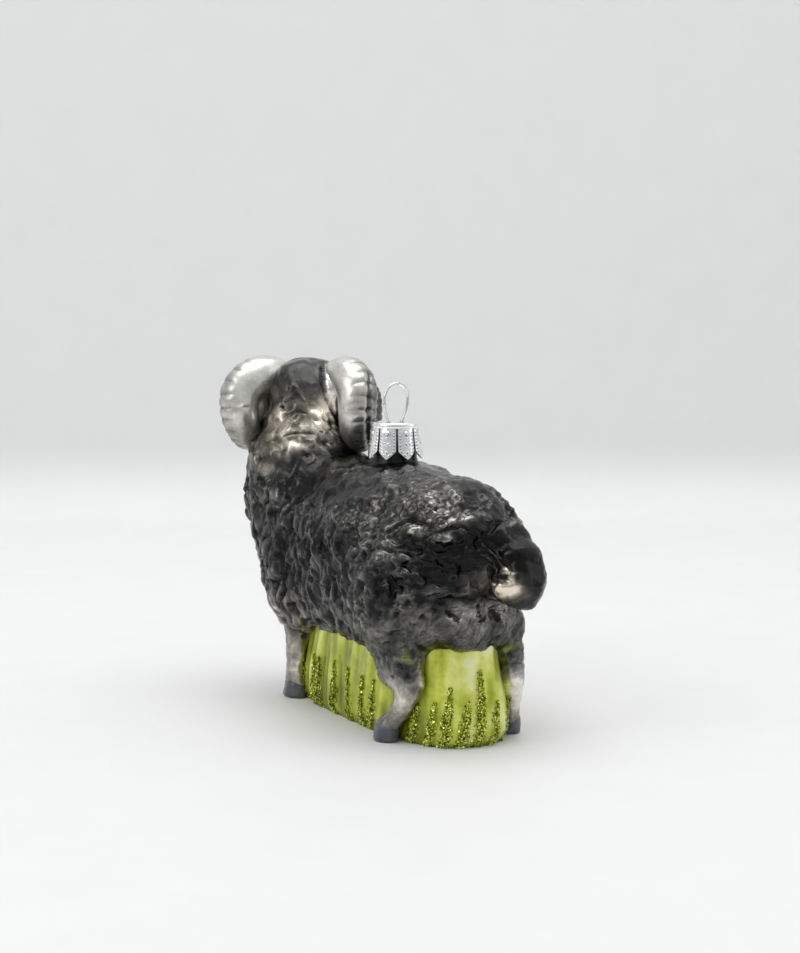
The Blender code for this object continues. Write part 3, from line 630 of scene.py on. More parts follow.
# Raised wavy locks: a half-width and a height in millimetres, and the pixels that each one runs through.
LOCKS = [
    (0.34, 0.42, [
        (254, 466), (250, 482), (249, 494), (252, 508), (250, 522), (252, 534), (257, 547), (262, 562),
    ]),
    (0.32, 0.40, [(261, 462), (257, 478), (253, 492)]),
    (0.30, 0.30, [(262, 487), (270, 491), (273, 499)]),
    (0.34, 0.42, [(271, 514), (267, 528), (263, 540), (262, 552), (267, 568), (271, 584)]),
    (0.30, 0.30, [(258, 506), (263, 516), (259, 528)]),
    (0.34, 0.45, [(297, 534), (298, 552), (302, 564), (308, 578), (317, 588), (322, 600)]),
    (0.34, 0.40, [(307, 526), (309, 536), (317, 541), (318, 552), (314, 564)]),
    (0.32, 0.42, [(318, 556), (326, 560), (332, 566), (333, 575)]),
    (0.32, 0.36, [(326, 526), (321, 538), (320, 550), (326, 554)]),
    (0.32, 0.36, [(300, 548), (306, 558), (310, 570), (320, 584), (332, 594)]),
    (0.36, 0.42, [(309, 596), (318, 610), (322, 620), (331, 625), (345, 631)]),
    (0.34, 0.40, [(312, 588), (324, 602), (334, 610), (341, 621)]),
    (0.40, 0.48, [(349, 592), (348, 610), (352, 626), (356, 641)]),
    (0.32, 0.30, [(358, 552), (364, 568), (360, 585)]),
    (0.32, 0.30, [(368, 564), (360, 580), (352, 592)]),
    (0.34, 0.34, [(290, 470), (297, 480), (294, 492), (288, 503)]),
    (0.32, 0.34, [(276, 505), (284, 517), (282, 530), (288, 545)]),
    (0.32, 0.34, [(284, 556), (288, 572), (298, 585), (302, 600)]),
    (0.32, 0.30, [(338, 500), (332, 512), (338, 524), (334, 538)]),
    (0.32, 0.32, [(340, 545), (346, 556), (342, 570), (346, 582)]),
    (0.30, 0.42, [(292, 384), (289, 396), (283, 400), (285, 408)]),
    (0.30, 0.50, [(292, 384), (300, 391), (306, 400), (309, 411), (313, 422)]),
    (0.30, 0.36, [(306, 400), (315, 404)]),
    (0.32, 0.44, [(288, 416), (296, 422), (302, 416), (311, 415)]),
    (0.30, 0.36, [(289, 430), (293, 422), (300, 420)]),
    (0.30, 0.40, [(306, 426), (316, 430), (315, 440), (306, 440)]),
    (0.30, 0.40, [(302, 446), (310, 452), (314, 460), (308, 464)]),
    (0.32, 0.36, [(299, 458), (296, 468), (290, 478)]),
    (0.30, 0.34, [(313, 422), (322, 431), (330, 427)]),
    (0.34, 0.34, [(474, 488), (488, 500), (502, 513), (524, 533)]),
    (0.34, 0.40, [(448, 506), (460, 511), (456, 520), (449, 524)]),
    (0.34, 0.40, [(398, 556), (412, 560), (421, 556), (432, 561)]),
    (0.34, 0.34, [(392, 572), (402, 568), (411, 575), (408, 583)]),
]

# Ring-shaped curls on the rump: a middle and two half-widths, in pixels.
RINGS = [
    (441, 522, 6.5, 5.5), (441, 510, 8.5, 4.2), (469, 515, 5.0, 4.0), (475, 505, 3.2, 2.8),
    (456, 499, 4.2, 3.2), (424, 509, 4.5, 3.5), (487, 518, 3.6, 3.0), (430, 494, 6.0, 3.6),
    (408, 506, 3.8, 3.0),
]

# Creases where the lacquer has pooled black, but for the one along the tail's root, whose black is painted
# shade: a half-width and a depth in millimetres, and pixels.
CREASES = [
    (0.42, 0.60, [(384, 534), (392, 530), (403, 522), (412, 519), (420, 522), (429, 527), (439, 532)]),
    (0.46, 0.62, [(439, 532), (450, 529), (461, 526), (472, 530), (483, 536)]),
    (0.40, 0.50, [(397, 543), (407, 538), (418, 541), (428, 548), (439, 551), (450, 547), (464, 545)]),
    (0.34, 0.40, [(400, 551), (410, 549), (424, 554), (432, 563)]),
    (0.40, 0.44, [(398, 581), (408, 577), (414, 583), (420, 589)]),
    (0.42, 0.44, [(434, 601), (450, 599), (468, 600), (482, 594), (489, 583)]),
    # Painted shade: the black along the tail's root, where the tail meets the rump.
    (0.60, 0.90, [(478, 535), (488, 543), (498, 553), (505, 562), (513, 571)]),
    (0.30, 0.34, [(284, 419), (296, 412), (307, 414)]),
    (0.32, 0.38, [(284, 436), (298, 433), (312, 434)]),
    (0.26, 0.30, [(497, 578), (504, 578), (512, 582)]),
    (0.26, 0.30, [(505, 568), (512, 571), (509, 577)]),
    (0.50, 0.70, [(323, 360), (322, 376), (325, 394), (332, 412), (344, 430)]),
    (0.34, 0.34, [(303, 530), (304, 545), (310, 560)]),
    (0.30, 0.30, [(266, 500), (262, 512)]),
]

# Soft mounds of the mould: a middle and two half-widths in pixels, and a height in millimetres.
MOUNDS = [
    (415, 531, 14, 5, 0.85), (447, 539, 11, 4, 0.80), (414, 558, 14, 4, 0.70), (401, 574, 9, 4, 0.60),
    (414, 594, 12, 4, 0.55), (452, 593, 18, 4, 0.45), (432, 571, 6, 2, 0.35), (453, 574, 4, 3, 0.35),
    (396, 560, 5, 4, 0.30), (384, 572, 5, 6, 0.30), (470, 519, 10, 5, 0.35), (398, 606, 8, 4, 0.30),
    (500, 545, 9, 7, -0.90), (512, 560, 8, 7, -0.60), (506, 590, 9, 8, 0.25), (266, 394, 9, 26, 2.00),
    (333, 388, 7, 24, 2.00), (296, 446, 9, 7, 0.30), (296, 402, 8, 7, 0.25), (322, 424, 7, 9, 0.30),
]

# Pits, filled with black: a middle and a half-width in pixels.
PITS = [
    (384, 592, 4.5), (372, 607, 3.6), (418, 600, 3.6), (442, 602, 4.2), (435, 610, 3.4), (423, 618, 2.8),
    (389, 605, 3.4), (379, 613, 3.4), (402, 587, 2.6), (408, 602, 2.6), (396, 614, 2.6), (287, 498, 2.2),
    (301, 500, 2.0), (312, 506, 2.0), (278, 511, 2.2), (300, 540, 2.4), (282, 594, 2.2), (316, 542, 2.4),
    (322, 530, 2.4), (334, 580, 2.4), (341, 605, 2.6), (345, 588, 2.2), (368, 592, 2.6), (376, 598, 2.4),
    (385, 655, 3.6), (400, 666, 3.2), (407, 677, 3.0), (392, 677, 1.6), (307, 455, 2.0), (325, 442, 2.2),
    (282, 407, 2.0), (495, 568, 2.4), (500, 560, 2.4), (330, 520, 2.2), (308, 584, 2.2), (355, 540, 2.4),
    (348, 524, 2.2), (292, 560, 2.2), (276, 547, 2.0), (364, 530, 2.2), (372, 550, 2.4), (360, 612, 2.4),
]

# Where the coat is lighter, below 0, or darker than around: a middle, two half-widths and how much. Most are
# lacquer tone, but some are painted light: painted highlights on the back and along the head's right edge,
# painted lightening over the shaded hollows beside the horns, a painted dark reflection on the haunch, and
# painted shade under the tail's root and on the back of the hind leg.
TONE_AND_LIGHT_SPOTS = [
    # The first is a painted dark reflection on the haunch; the third and fourth are painted shade under the
    # tail's root.
    (450, 566, 28, 17, 0.42), (378, 600, 13, 14, 0.20), (492, 542, 11, 7, 0.70), (508, 552, 10, 8, 0.70),
    (520, 566, 7, 7, 0.60), (502, 571, 11, 9, -0.85), (513, 591, 10, 8, -0.36), (499, 591, 9, 8, -0.40),
    (527, 598, 6, 7, -0.20), (290, 446, 8, 8, -0.22), (277, 452, 5, 9, -0.15), (294, 396, 7, 8, -0.12),
    # The first is a painted highlight along the head's right edge.
    (321, 420, 10, 26, -0.34), (330, 450, 4, 4, -0.25), (299, 422, 9, 6, -0.10), (433, 497, 10, 5, -0.16),
    # The second is a painted highlight on the back.
    (452, 512, 18, 9, -0.12), (408, 468, 6, 5, -0.34), (264, 420, 7, 26, 0.08), (352, 474, 22, 6, 0.06),
    # The second and third are painted lightening over the shaded hollows beside the horns.
    (340, 492, 7, 3, -0.20), (266, 392, 13, 30, -0.85), (332, 386, 8, 26, -0.66), (498, 561, 8, 8, -0.55),
    (500, 583, 4, 1.6, 0.7), (507, 593, 1.6, 4, 0.4), (494, 577, 4, 1.8, 0.8), (517, 578, 2, 5, 0.5),
    (499, 571, 5, 1.6, 0.9), (506, 576, 1.6, 5, 0.9), (511, 568, 1.8, 4, 0.8), (505, 564, 4, 1.6, 0.7),
    # The third and fourth are painted shade on the back of the hind leg.
    (299, 668, 8, 14, -0.08), (384, 703, 6, 20, -0.24), (408, 672, 9, 12, 0.30), (416, 690, 8, 9, 0.30),
    (516, 690, 8, 26, -0.40), (509, 652, 4, 9, 0.36), (504, 516, 12, 8, -0.08),
    (470, 612, 26, 10, -0.08), (536, 572, 9, 22, 0.06), (275, 606, 12, 12, -0.14), (300, 380, 20, 10, 0.06),
]

# How thick the lacquer lies on each part of the coat, from 0 for bare silver to 1 for black.
COAT_TONES = {
    "flank": 0.90, "neck_side": 0.66, "low_flank": 0.56, "low_chest": 0.24, "saddle": 1.0, "back": 0.60,
    "spine": 0.96, "rump": 0.50, "haunch": 0.72, "low_haunch": 0.47, "streak": 0.40, "tail": 0.76,
    "nape": 0.12, "throat": 0.26, "crown": 0.60, "leg": 0.17, "thigh": 0.58,
}

# How strongly each kind of relief, and the lacquer's warm tint, show in each region of the coat.
WOOLLY = {"flank": 1, "low_flank": 1, "neck_side": 1, "low_chest": 0.6, "throat": 0.35}
CURLY = {"back": 1, "rump": 0.9}
LUMPY = {"haunch": 1, "low_haunch": 0.7, "thigh": 0.3}
BRUSHED = {"streak": 1, "low_haunch": 0.4, "thigh": 0.5, "leg": 0.25}
SMOOTH = {"saddle": 1, "spine": 1, "crown": 1, "leg": 1, "tail": 1}
WARM = {"nape": 1, "low_chest": 0.8, "leg": 0.4, "rump": 0.5, "throat": 0.4}
WARM_SPOTS = [(510, 582, 16, 16, 1.0)]


# --- Reading the photograph's pixels on the skin -------------------------------------------------


def along_view(across, ahead, up):
    """A place in metres, measured from the ram as the camera looks at it."""
    return Matrix.Rotation(CAMERA_TURN, 3, "Z") @ Vector((across, ahead, up))


def view_axes():
    """The camera's right, its upward and its forward direction."""
    ahead = along_view(0.0, math.cos(CAMERA_DIP), -math.sin(CAMERA_DIP))
    right = along_view(1.0, 0.0, 0.0)
    return right, right.cross(ahead), ahead


def seen_on(tree, pixel):
    """Where the line of sight through a pixel first meets a skin, in millimetres."""
    right, upward, ahead = view_axes()
    across = (pixel[0] - PHOTO_WIDE / 2) / FOCAL_PIXELS
    above = (PHOTO_HIGH / 2 - pixel[1]) / FOCAL_PIXELS
    start = along_view(CAMERA_SIDE, -CAMERA_REACH, CAMERA_HEIGHT)
    hit = tree.ray_cast(start, (ahead + right * across + upward * above).normalized())[0]
    return None if hit is None else np.array(hit) / MM


def across_the_spine(tree, place):
    """The same place on the ram's other side."""
    return np.array(tree.find_nearest(Vector(place * (-MM, MM, MM)))[0]) / MM


def smooth_path(pixels):
    """Pixels close together on a smooth curve through a few of them."""
    ends = np.array([pixels[0], *pixels, pixels[-1]], float)
    path = []
    for a, b, c, d in zip(ends, ends[1:], ends[2:], ends[3:]):
        slope, bow, twist = c - a, 2 * a - 5 * b + 4 * c - d, 3 * b - a - 3 * c + d
        for t in np.linspace(0, 1, PATH_STEPS, endpoint=False):
            path.append(0.5 * (2 * b + slope * t + bow * t**2 + twist * t**3))
    return path + [ends[-2]]


def ring_path(middle_x, middle_y, wide, high):
    """Pixels most of the way round a ring."""
    return [
        (middle_x + wide * math.cos(turn), middle_y + high * math.sin(turn))
        for turn in np.linspace(0, RING_SWEEP * math.tau, RING_STEPS)
    ]


def twins_of(tree, place):
    """A mark's place and its twin's on the other side. Marks on the turned head and neck have no twin."""
    if place[2] > TURNED_ABOVE and place[1] > TURNED_AHEAD:
        return [(place, 1)]
    return [(place, 1), (across_the_spine(tree, place), -1)]


def line_marks(tree, points, lines):
    """How far each place is raised by the nearest of some lines, which fade out at their ends."""
    spots = []
    for half_width, height, path in lines:
        for k, pixel in enumerate(path):
            place = seen_on(tree, pixel)
            if place is None:
                continue
            rise = height * math.sin(math.pi * (k + 0.6) / (len(path) + 0.2)) ** 0.4
            spots += [(where, half_width, rise) for where, _ in twins_of(tree, place)]
    finder = kdtree.KDTree(len(spots))
    for i, (place, _, _) in enumerate(spots):
        finder.insert(place, i)
    finder.balance()
    raised = np.zeros(len(points))
    for i, point in enumerate(points):
        _, index, distance = finder.find(point)
        if distance < LINE_REACH:
            _, half_width, rise = spots[index]
            raised[i] = rise * math.exp(-((distance / half_width) ** 2))
    return raised


def spot_marks(tree, points, marks):
    """The sum of soft oval spots on the skin, and of their twins on the other side."""
    right, upward, ahead = (np.array(axis) for axis in view_axes())
    total = np.zeros(len(points))
    for middle_x, middle_y, wide, high, amount in marks:
        place = seen_on(tree, (middle_x, middle_y))
        if place is None:
            continue
        for centre, side in twins_of(tree, place):
            off = (points - centre) * (side, 1, 1)
            near = (np.abs(off) < 3 * PIXEL * max(wide, high) + 1).all(1)
            u, v = off[near] @ right / (wide * PIXEL), off[near] @ upward / (high * PIXEL)
            w = off[near] @ ahead / MARK_DEPTH
            total[near] += amount * np.exp(-(u**2) - v**2 - w**2)
    return total


# --- The blown skin ------------------------------------------------------------------------------


def in_head_frame(points):
    """Places as they are in the head's own frame."""
    turn = np.array(Matrix.Rotation(-HEAD_TURN, 3, "Z"))
    return (points - np.array(HEAD_CENTRE)) @ turn.T


def zone_strength(zone, shares):
    """How strongly one kind of relief or tint shows at each place."""
    return sum(share * zone[name] for name, share in shares.items())


def zones_of(points):
    """How much each place belongs to each region of the moulded coat. The regions share out to 1.

    Each has a weight, and fades out between limits that are given in millimetres."""
    x, y, z = points.T
    face = in_head_frame(points)
    behind = 1 - ease(face[:, 1], -2.0, 2.5)
    wanted = {
        "crown": ease(z, 67.0, 75.0) * 4 + 3 * ease(z, 60.0, 66.0) * (1 - behind),
        "leg": 6 * (1 - ease(z, 11.0, 17.0)),
        "tail": 5 * ease(-y, 39.3, 41.3) * ease(z, 28.5, 31.0) * (1 - ease(z, 46.0, 49.0))
        * ease(x, -1.5, 2.0),
        "thigh": 2.5 * hill(z, 17.5, 4.5) * ease(-y, 12.0, 17.0),
        "saddle": 20 * hill(np.hypot(x, y - 2.0), 0.0, 11.0) * ease(z, 49.0, 52.5)
        + 16 * (1 - ease(np.abs(x + 5.0), 8.0, 13.0)) * ease(z, 48.0, 53.0) * ease(y, -2.0, 6.0)
        * (1 - ease(z, 56.0, 60.0)),
        "spine": 7 * (1 - ease(np.abs(x - 3.5), 3.5, 6.5)) * ease(-y, 9.0, 14.0) * ease(z, 43.0, 47.0),
        "nape": 4.5 * ease(z, 52.0, 56.0) * (1 - ease(z, 68.0, 75.0))
        * (1 - ease(np.abs(face[:, 0]), 6.0, 9.5)) * behind,
        "throat": 1.2 * ease(z, 50.0, 56.0) * (1 - ease(z, 68.0, 72.0)),
        "neck_side": 1.2 * ease(y, 20.0, 28.0) * ease(z, 26.0, 32.0) * (1 - ease(z, 50.0, 56.0)),
        "low_chest": 2.0 * ease(y, 12.0, 20.0) * (1 - ease(z, 21.0, 28.0)),
        "rump": 2.5 * hill(y, -27.0, 9.0) * ease(z, 43.0, 46.0),
        "back": 1.5 * ease(z, 43.0, 47.0) * (1 - ease(y, 14.0, 22.0)),
        "haunch": 1.5 * ease(-y, 12.0, 20.0) * (1 - ease(z, 43.0, 47.0)) * ease(z, 25.0, 31.0),
        "low_haunch": 1.2 * ease(-y, 10.0, 18.0) * (1 - ease(z, 27.0, 32.0)),
        "streak": 4.0 * ease(-y, 28.0, 34.0) * (1 - ease(z, 28.0, 33.0)) * ease(z, 13.0, 17.0),
        "low_flank": 1.0 * (1 - ease(z, 24.0, 30.0)) * (1 - ease(-y, 10.0, 18.0)),
        "flank": np.full(len(z), 0.5),
    }
    whole = sum(wanted.values())
    return {name: share / whole for name, share in wanted.items()}


def warped(points, size, amount, shift=0.0):
    """The same places, pushed about so that a pattern laid on them isn't regular."""
    shifts = [waves(points, (size, size, size), shift + more) for more in (3.1, 17.7, 41.3)]
    return points + amount * np.stack(shifts, axis=1)


def black_pits(points, size, share, shift):
    """Small scattered pits: 1 at the middle of each, and in only some of the cells."""
    near, _, away = cells(points, (size, size, size * 0.8), shift)
    centre = points / (size, size, size * 0.8) + shift - away
    chosen = np.modf(np.abs(np.sin(centre @ (12.9898, 78.233, 37.719)) * 4375.85))[0] < share
    return chosen * (1 - ease(near, 0.12, 0.38))


def relief_of(points, normals, zone):
    """How far the mould raises each place, in millimetres, and where its crests and pits are."""
    bent = warped(points, 5.0, 1.3)
    fine = warped(points, 2.6, 0.5, 5.0)
    locks = 0.62 * lumps(bent, (3.0, 3.0, 4.8), 2.5) + 0.58 * ropes(bent, (3.1, 3.1, 8.5))
    locks = locks + 0.12 * ropes(fine, (1.7, 1.7, 3.6), 9.0)
    broken = 0.35 + 0.65 * ease(waves(points, (1.9, 1.9, 1.9), 7.7), -0.25, 0.25)
    small = 0.8 * curls(fine, normals, 2.3) * broken + 0.45 * lumps(bent, (2.1, 2.1, 1.7), 5.0)
    folds = lumps(warped(points, 7.0, 2.6), (7.5, 7.5, 4.2), 1.5)
    folds = 0.8 * folds + 0.35 * ropes(fine, (2.2, 2.2, 1.6), 3.0) + 0.2 * small
    slanted = bent @ np.array(Matrix.Rotation(math.radians(-38), 3, "Y")).T
    streaks = ropes(slanted, (0.9, 1.2, 7.0), 4.0)
    mottle = 0.3 * ropes(fine, (3.0, 3.0, 2.4), 2.0) + 0.9 * waves(bent, (4.0, 4.0, 3.0), 1.0)
    soft = waves(points, (3.6, 3.6, 7.0), 6.0)
    woolly, curly, lumpy = zone_strength(zone, WOOLLY), zone_strength(zone, CURLY), zone_strength(zone, LUMPY)
    brushed, smooth = zone_strength(zone, BRUSHED), zone_strength(zone, SMOOTH)
    height = (
        0.80 * woolly * (locks - 0.45) + 0.50 * curly * (small - 0.4) + 1.30 * lumpy * (folds - 0.5)
        + 0.15 * brushed * (streaks - 0.5) + 0.34 * zone["nape"] * mottle + 0.12 * (smooth + 0.5) * soft
    )
    crest = woolly * locks + curly * small * 1.1 + lumpy * folds + 0.5 * brushed * streaks
    crest = crest + zone["nape"] * mottle
    crest = crest + 0.45 * (1 - np.clip(woolly + curly + lumpy + 0.5 * brushed + zone["nape"], 0, 1))
    pitted = 0.9 * woolly + 0.6 * curly + 0.9 * zone["haunch"] + 0.25 * zone["low_haunch"]
    pitted = (pitted + 0.35 * zone["nape"]) * (1 - ease(-points[:, 1], 33.0, 37.0))
    return height, np.clip(crest, 0, 1.3), black_pits(bent, 3.1, 0.6, 0.4) * np.clip(pitted, 0, 1)


def lacquer_of(points, zone, crest):
    """How deep the grey lacquer tone lies: 0 is bare silver and 1 is black. The crests come out lighter,
    partly as a painted highlight.
    """
    lacquer_and_light = sum(COAT_TONES[name] * share for name, share in zone.items())
    busy = 1 - zone["saddle"] - zone["spine"] - zone["tail"] - zone["crown"] - 0.7 * zone["leg"]
    pooled = 0.16 * (1 - ease(crest, 0.0, 0.28)) * (1 - zone["nape"] - zone["throat"])
    # Lighter on the crests, partly from thinner lacquer and partly as a painted highlight, and darker where
    # the lacquer pools between them.
    lacquer_and_light = lacquer_and_light - (0.52 * (crest - 0.45) - pooled) * np.clip(busy, 0, 1)
    lacquer_and_light = lacquer_and_light + 0.16 * waves(points, (7.0, 7.0, 7.0), 8.0) + 0.07 * waves(points, (2.2, 2.2, 2.2), 2.0)
    lacquer_and_light = lacquer_and_light + 0.24 * zone["nape"] * waves(points, (2.8, 2.8, 2.0), 4.0)
    return lacquer_and_light + 0.05 * zone["leg"] * waves(points, (2.0, 2.0, 6.0), 9.0)


def blown_skin():
    """The whole blown shape but for the horns and the grass, with its moulded coat."""
    skin = melt(copy_of_nodes(FLESH, "glass_skin"), SKIN_VOXEL, SEAM_FILL, SKIN_EASE)
    points, normals = points_of(skin), normals_of(skin)
    mesh = skin.data
    faces = [tuple(face.vertices) for face in mesh.polygons]
    tree = bvhtree.BVHTree.FromPolygons((points * MM).tolist(), faces)
    zone = zones_of(points)
    height, crest, scattered = relief_of(points, normals, zone)
    lines = [(half_width, rise, smooth_path(pixels)) for half_width, rise, pixels in LOCKS]
    lines += [(RING_HALF_WIDTH, RING_HEIGHT, ring_path(*ring)) for ring in RINGS]
    raised = line_marks(tree, points, lines)
    sunk = line_marks(tree, points, [(wide, deep, smooth_path(pixels)) for wide, deep, pixels in CREASES])
    drawn = spot_marks(tree, points, [(x, y, reach, reach * 0.8, 1.0) for x, y, reach in PITS])
    pits = np.clip(np.maximum(scattered, drawn), 0, 1)
    calm = 1 - 0.75 * np.clip((raised + sunk) / 0.35, 0, 1)
    mounds = spot_marks(tree, points, MOUNDS)
    drawn_over = 1 - 0.55 * zone["nape"]
    height = height * calm + raised * drawn_over - sunk + MOUND_RISE * mounds - PIT_DEPTH * pits
    # The spots add painted highlights and painted shade as well as lacquer tone, and the raised locks and
    # mounds are lightened, partly by thinner lacquer and partly as a painted highlight.
    lacquer_and_light = lacquer_of(points, zone, crest) + spot_marks(tree, points, TONE_AND_LIGHT_SPOTS)
    lacquer_and_light = lacquer_and_light - LOCK_THINS_AND_HIGHLIGHT * raised * drawn_over + CREASE_FILLS * np.clip(sunk, 0, 0.45)
    lacquer_and_light = lacquer_and_light + PIT_FILLS * pits - MOUND_THINS_AND_HIGHLIGHT * np.clip(mounds, 0, 0.8)
    near_neck = hill(np.hypot(points[:, 0], points[:, 1]), 0.0, 6.3) * ease(points[:, 2], 54.0, 56.0)
    lacquer_and_light = np.clip(lacquer_and_light + 1.2 * np.clip(near_neck - 0.35, 0, 1), 0.0, 1.0)
    warm = zone_strength(zone, WARM) + 1.2 * np.clip(spot_marks(tree, points, WARM_SPOTS), 0, 1)
    spray = hill(points[:, 2], 19.5, 1.6) * ease(-points[:, 1], 28.0, 34.0)
    spray = spray * ease(waves(points, (2.5, 2.5, 1.5), 5.0), -0.1, 0.4)
    # The stored lacquer value also carries these painted highlights and painted shade.
    for name, values in (("lacquer", lacquer_and_light), ("warmth", np.clip(warm, 0, 1)), ("lime", 0.6 * spray)):
        paint_value(skin, name, values)
    moved = points + normals * height[:, None]
    low, high = (np.array(corner) / MM for corner in CAD_BOX)
    move_points(skin, np.clip(moved, low, high))
    thin = skin.modifiers.new("thin out", "DECIMATE")
    thin.ratio = min(1.0, SKIN_FACES / (2 * len(mesh.polygons)))
    apply_all(skin)
    skin.data.shade_smooth()
    return skin


def paint_slope(points):
    """How much higher the hoof's paint line is at each place: it rises to the outer side of every hoof."""
    centres = np.array([points_of(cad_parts[name]).mean(0) for name in HOOVES])
    nearest = ((points[:, None, :2] - centres[None, :, :2]) ** 2).sum(2).argmin(1)
    return HOOF_SLANT * np.clip(np.abs(points[:, 0]) - np.abs(centres[nearest, 0]), -2.5, 2.5)


def cut_off(piece, name, height, keep_above):
    """A copy of a piece with all that is above or below a sloping paint line cut away, and the cut closed."""
    twin = put_in(name, piece.data.copy())
    points = points_of(twin)
    points[:, 2] -= paint_slope(points)
    move_points(twin, points)
    take(twin)
    edit_all()
    bpy.ops.mesh.bisect(
        plane_co=(0, 0, height * MM), plane_no=(0, 0, 1), use_fill=True,
        clear_inner=keep_above, clear_outer=not keep_above,
    )
    leave_edit()
    points = points_of(twin)
    points[:, 2] += paint_slope(points)
    move_points(twin, points)
    return named(twin, name)


# --- Horns and eyes ------------------------------------------------------------------------------


def out_of_head_frame(points, side):
    """Head-frame places in the ornament's frame, mirrored first for the left side."""
    turn = np.array(Matrix.Rotation(HEAD_TURN, 3, "Z"))
    return (np.asarray(points) * (side, 1, 1)) @ turn.T + np.array(HEAD_CENTRE)


def coil_at(share):
    """A place on the right horn's line in the head's frame, and the horn's radius there."""
    angle = math.radians(COIL_START + share * (COIL_END - COIL_START))
    tighten = 1 - 0.22 * share
    outward = 5.6 + 9.2 * ease(share, -0.16, 0.28) - 0.9 * ease(share, 0.3, 0.55)
    outward = outward + 1.9 * ease(share, 0.5, 0.95)
    place = np.array(COIL_CENTRE) + np.array(
        (outward, -COIL_REACH_Y * tighten * math.sin(angle), COIL_REACH_Z * tighten * math.cos(angle))
    )
    return place, HORN_BASE_RADIUS + (HORN_TIP_RADIUS - HORN_BASE_RADIUS) * share**1.5


def swept_tube(name, stations, sides):
    """A round tube extruded ring by ring through stations: a place, the way it runs and a radius."""
    bpy.ops.mesh.primitive_circle_add(vertices=sides, radius=1.0, fill_type="NGON")
    tube = bpy.context.active_object
    edit_all()
    for _ in stations[1:]:
        pull_up((0, 0, 1.0))
    leave_edit()
    raw = points_of(tube) * MM
    moved = np.empty_like(raw)
    level = np.rint(raw[:, 2]).astype(int)
    for i, (place, direction, radius) in enumerate(stations):
        turn = Vector(direction).normalized().to_track_quat("Z", "X").to_matrix()
        here = level == i
        flat = raw[here] * (1, 1, 0)
        moved[here] = flat * radius @ np.array(turn).T + np.array(place)
    move_points(tube, moved)
    face_out(tube)
    return named(tube, name)


def ball_at(centre, radii, name, segments=32, rings=20):
    """A ball pressed to an ellipsoid, with its place in its mesh."""
    bpy.ops.mesh.primitive_uv_sphere_add(segments=segments, ring_count=rings, radius=MM)
    ball = bpy.context.active_object
    move_points(ball, points_of(ball) * np.asarray(radii) + np.asarray(centre))
    return named(ball, name)


def round_the_coil(points):
    """For each place, how far along the coil it is, and its angle round the horn in degrees: 0 on the
    outside, 90 at the back, and 180 next to the head."""
    line = np.array([coil_at(k / COIL_STEPS)[0] for k in range(COIL_STEPS + 1)])
    finder = kdtree.KDTree(len(line))
    for i, place in enumerate(line):
        finder.insert(place, i)
    finder.balance()
    nearest = np.array([finder.find(point)[1] for point in points])
    off = points - line[nearest]
    outward = (line[nearest] - np.array(COIL_CENTRE)) * (0, 1, 1)
    outward /= np.linalg.norm(outward, axis=1)[:, None]
    # A place slides along the line between its two nearest stations, so that the ridges don't step.
    ahead = np.roll(line, -1, axis=0) - np.roll(line, 1, axis=0)
    ahead[0], ahead[-1] = line[1] - line[0], line[-1] - line[-2]
    ahead /= np.linalg.norm(ahead, axis=1)[:, None]
    step = np.linalg.norm(np.diff(line, axis=0), axis=1).mean()
    along = (nearest + np.clip((off * ahead[nearest]).sum(1) / step, -0.5, 0.5)) / COIL_STEPS
    return along, np.degrees(np.arctan2((off * outward).sum(1), off[:, 0]))


def horn(name, side):
    """A horn that coils once, closed at its middle as blown glass is, ridged on its outer side."""
    let_go()
    stations = []
    for i in range(HORN_RINGS + 1):
        share = i / HORN_RINGS
        place, radius = coil_at(share)
        ahead, behind = coil_at(min(1.0, share + 0.01))[0], coil_at(max(0.0, share - 0.01))[0]
        stations.append((place, ahead - behind, radius))
    tube = swept_tube("horn_tube", stations, HORN_SIDES)
    plug = ball_at(np.array(COIL_CENTRE) + (HORN_PLUG_OUT, 0, 0), HORN_PLUG_RADII, "horn_plug")
    tip = ball_at(coil_at(1.0)[0], (HORN_TIP_RADIUS,) * 3, "horn_tip", 16, 10)
    take(tube, plug, tip)
    bpy.ops.object.join()
    fused = melt(tube, HORN_VOXEL, 0.0, 6)
    points, normals = points_of(fused), normals_of(fused)
    along, turn = round_the_coil(points)
    wander = along + 0.006 * waves(points, (4.0, 4.0, 4.0), 2.0)
    flute = np.abs(np.sin(math.pi * HORN_RIDGES * wander)) ** 0.75
    ridged = ease(turn, -50.0, -20.0) * (1 - ease(turn, 62.0, 108.0))
    ridged = ridged * ease(along, 0.04, 0.12) * (0.75 + 0.35 * waves(points, (5.0, 5.0, 5.0), 6.0))
    groove = hill(turn, 38.0, 8.0) * ease(along, 0.10, 0.20) * (0.6 if side > 0 else 0.2)
    swell = HORN_RIDGE_HEIGHT * (1 - 0.35 * along) * ridged * (1.5 * flute - 1.05)
    moved = points + normals * (swell - groove + 0.10 * waves(points, (3.5, 3.5, 3.5)))[:, None]
    # Towards the head the horn is painted lighter: painted light over the shade of the hollow between horn
    # and head.
    grey = 0.27 + 0.38 * ridged * (1 - flute) ** 1.4 - 0.14 * hill(turn, 112.0, 26.0)
    grey = grey - 0.24 * ease(turn, 118.0, 175.0) + 0.50 * np.clip(groove / 0.6, 0, 1)
    grey = grey + 0.34 * ease(-points[:, 2], 1.0, 8.0) + 0.12 * ease(along, 0.55, 0.9)
    grey = grey + (0.36 * (1 - ease(turn, 10.0, 36.0)) if side > 0 else 0.0)
    grey = grey + 0.12 * waves(points, (2.6, 2.6, 2.6), 1.0) + 0.10 * waves(points, (6.0, 6.0, 6.0), 3.0)
    paint_value(fused, "lacquer", np.clip(grey, 0, 1))
    move_points(fused, out_of_head_frame(moved, side))
    face_out(fused)
    fused.data.shade_smooth()
    return named(fused, name)


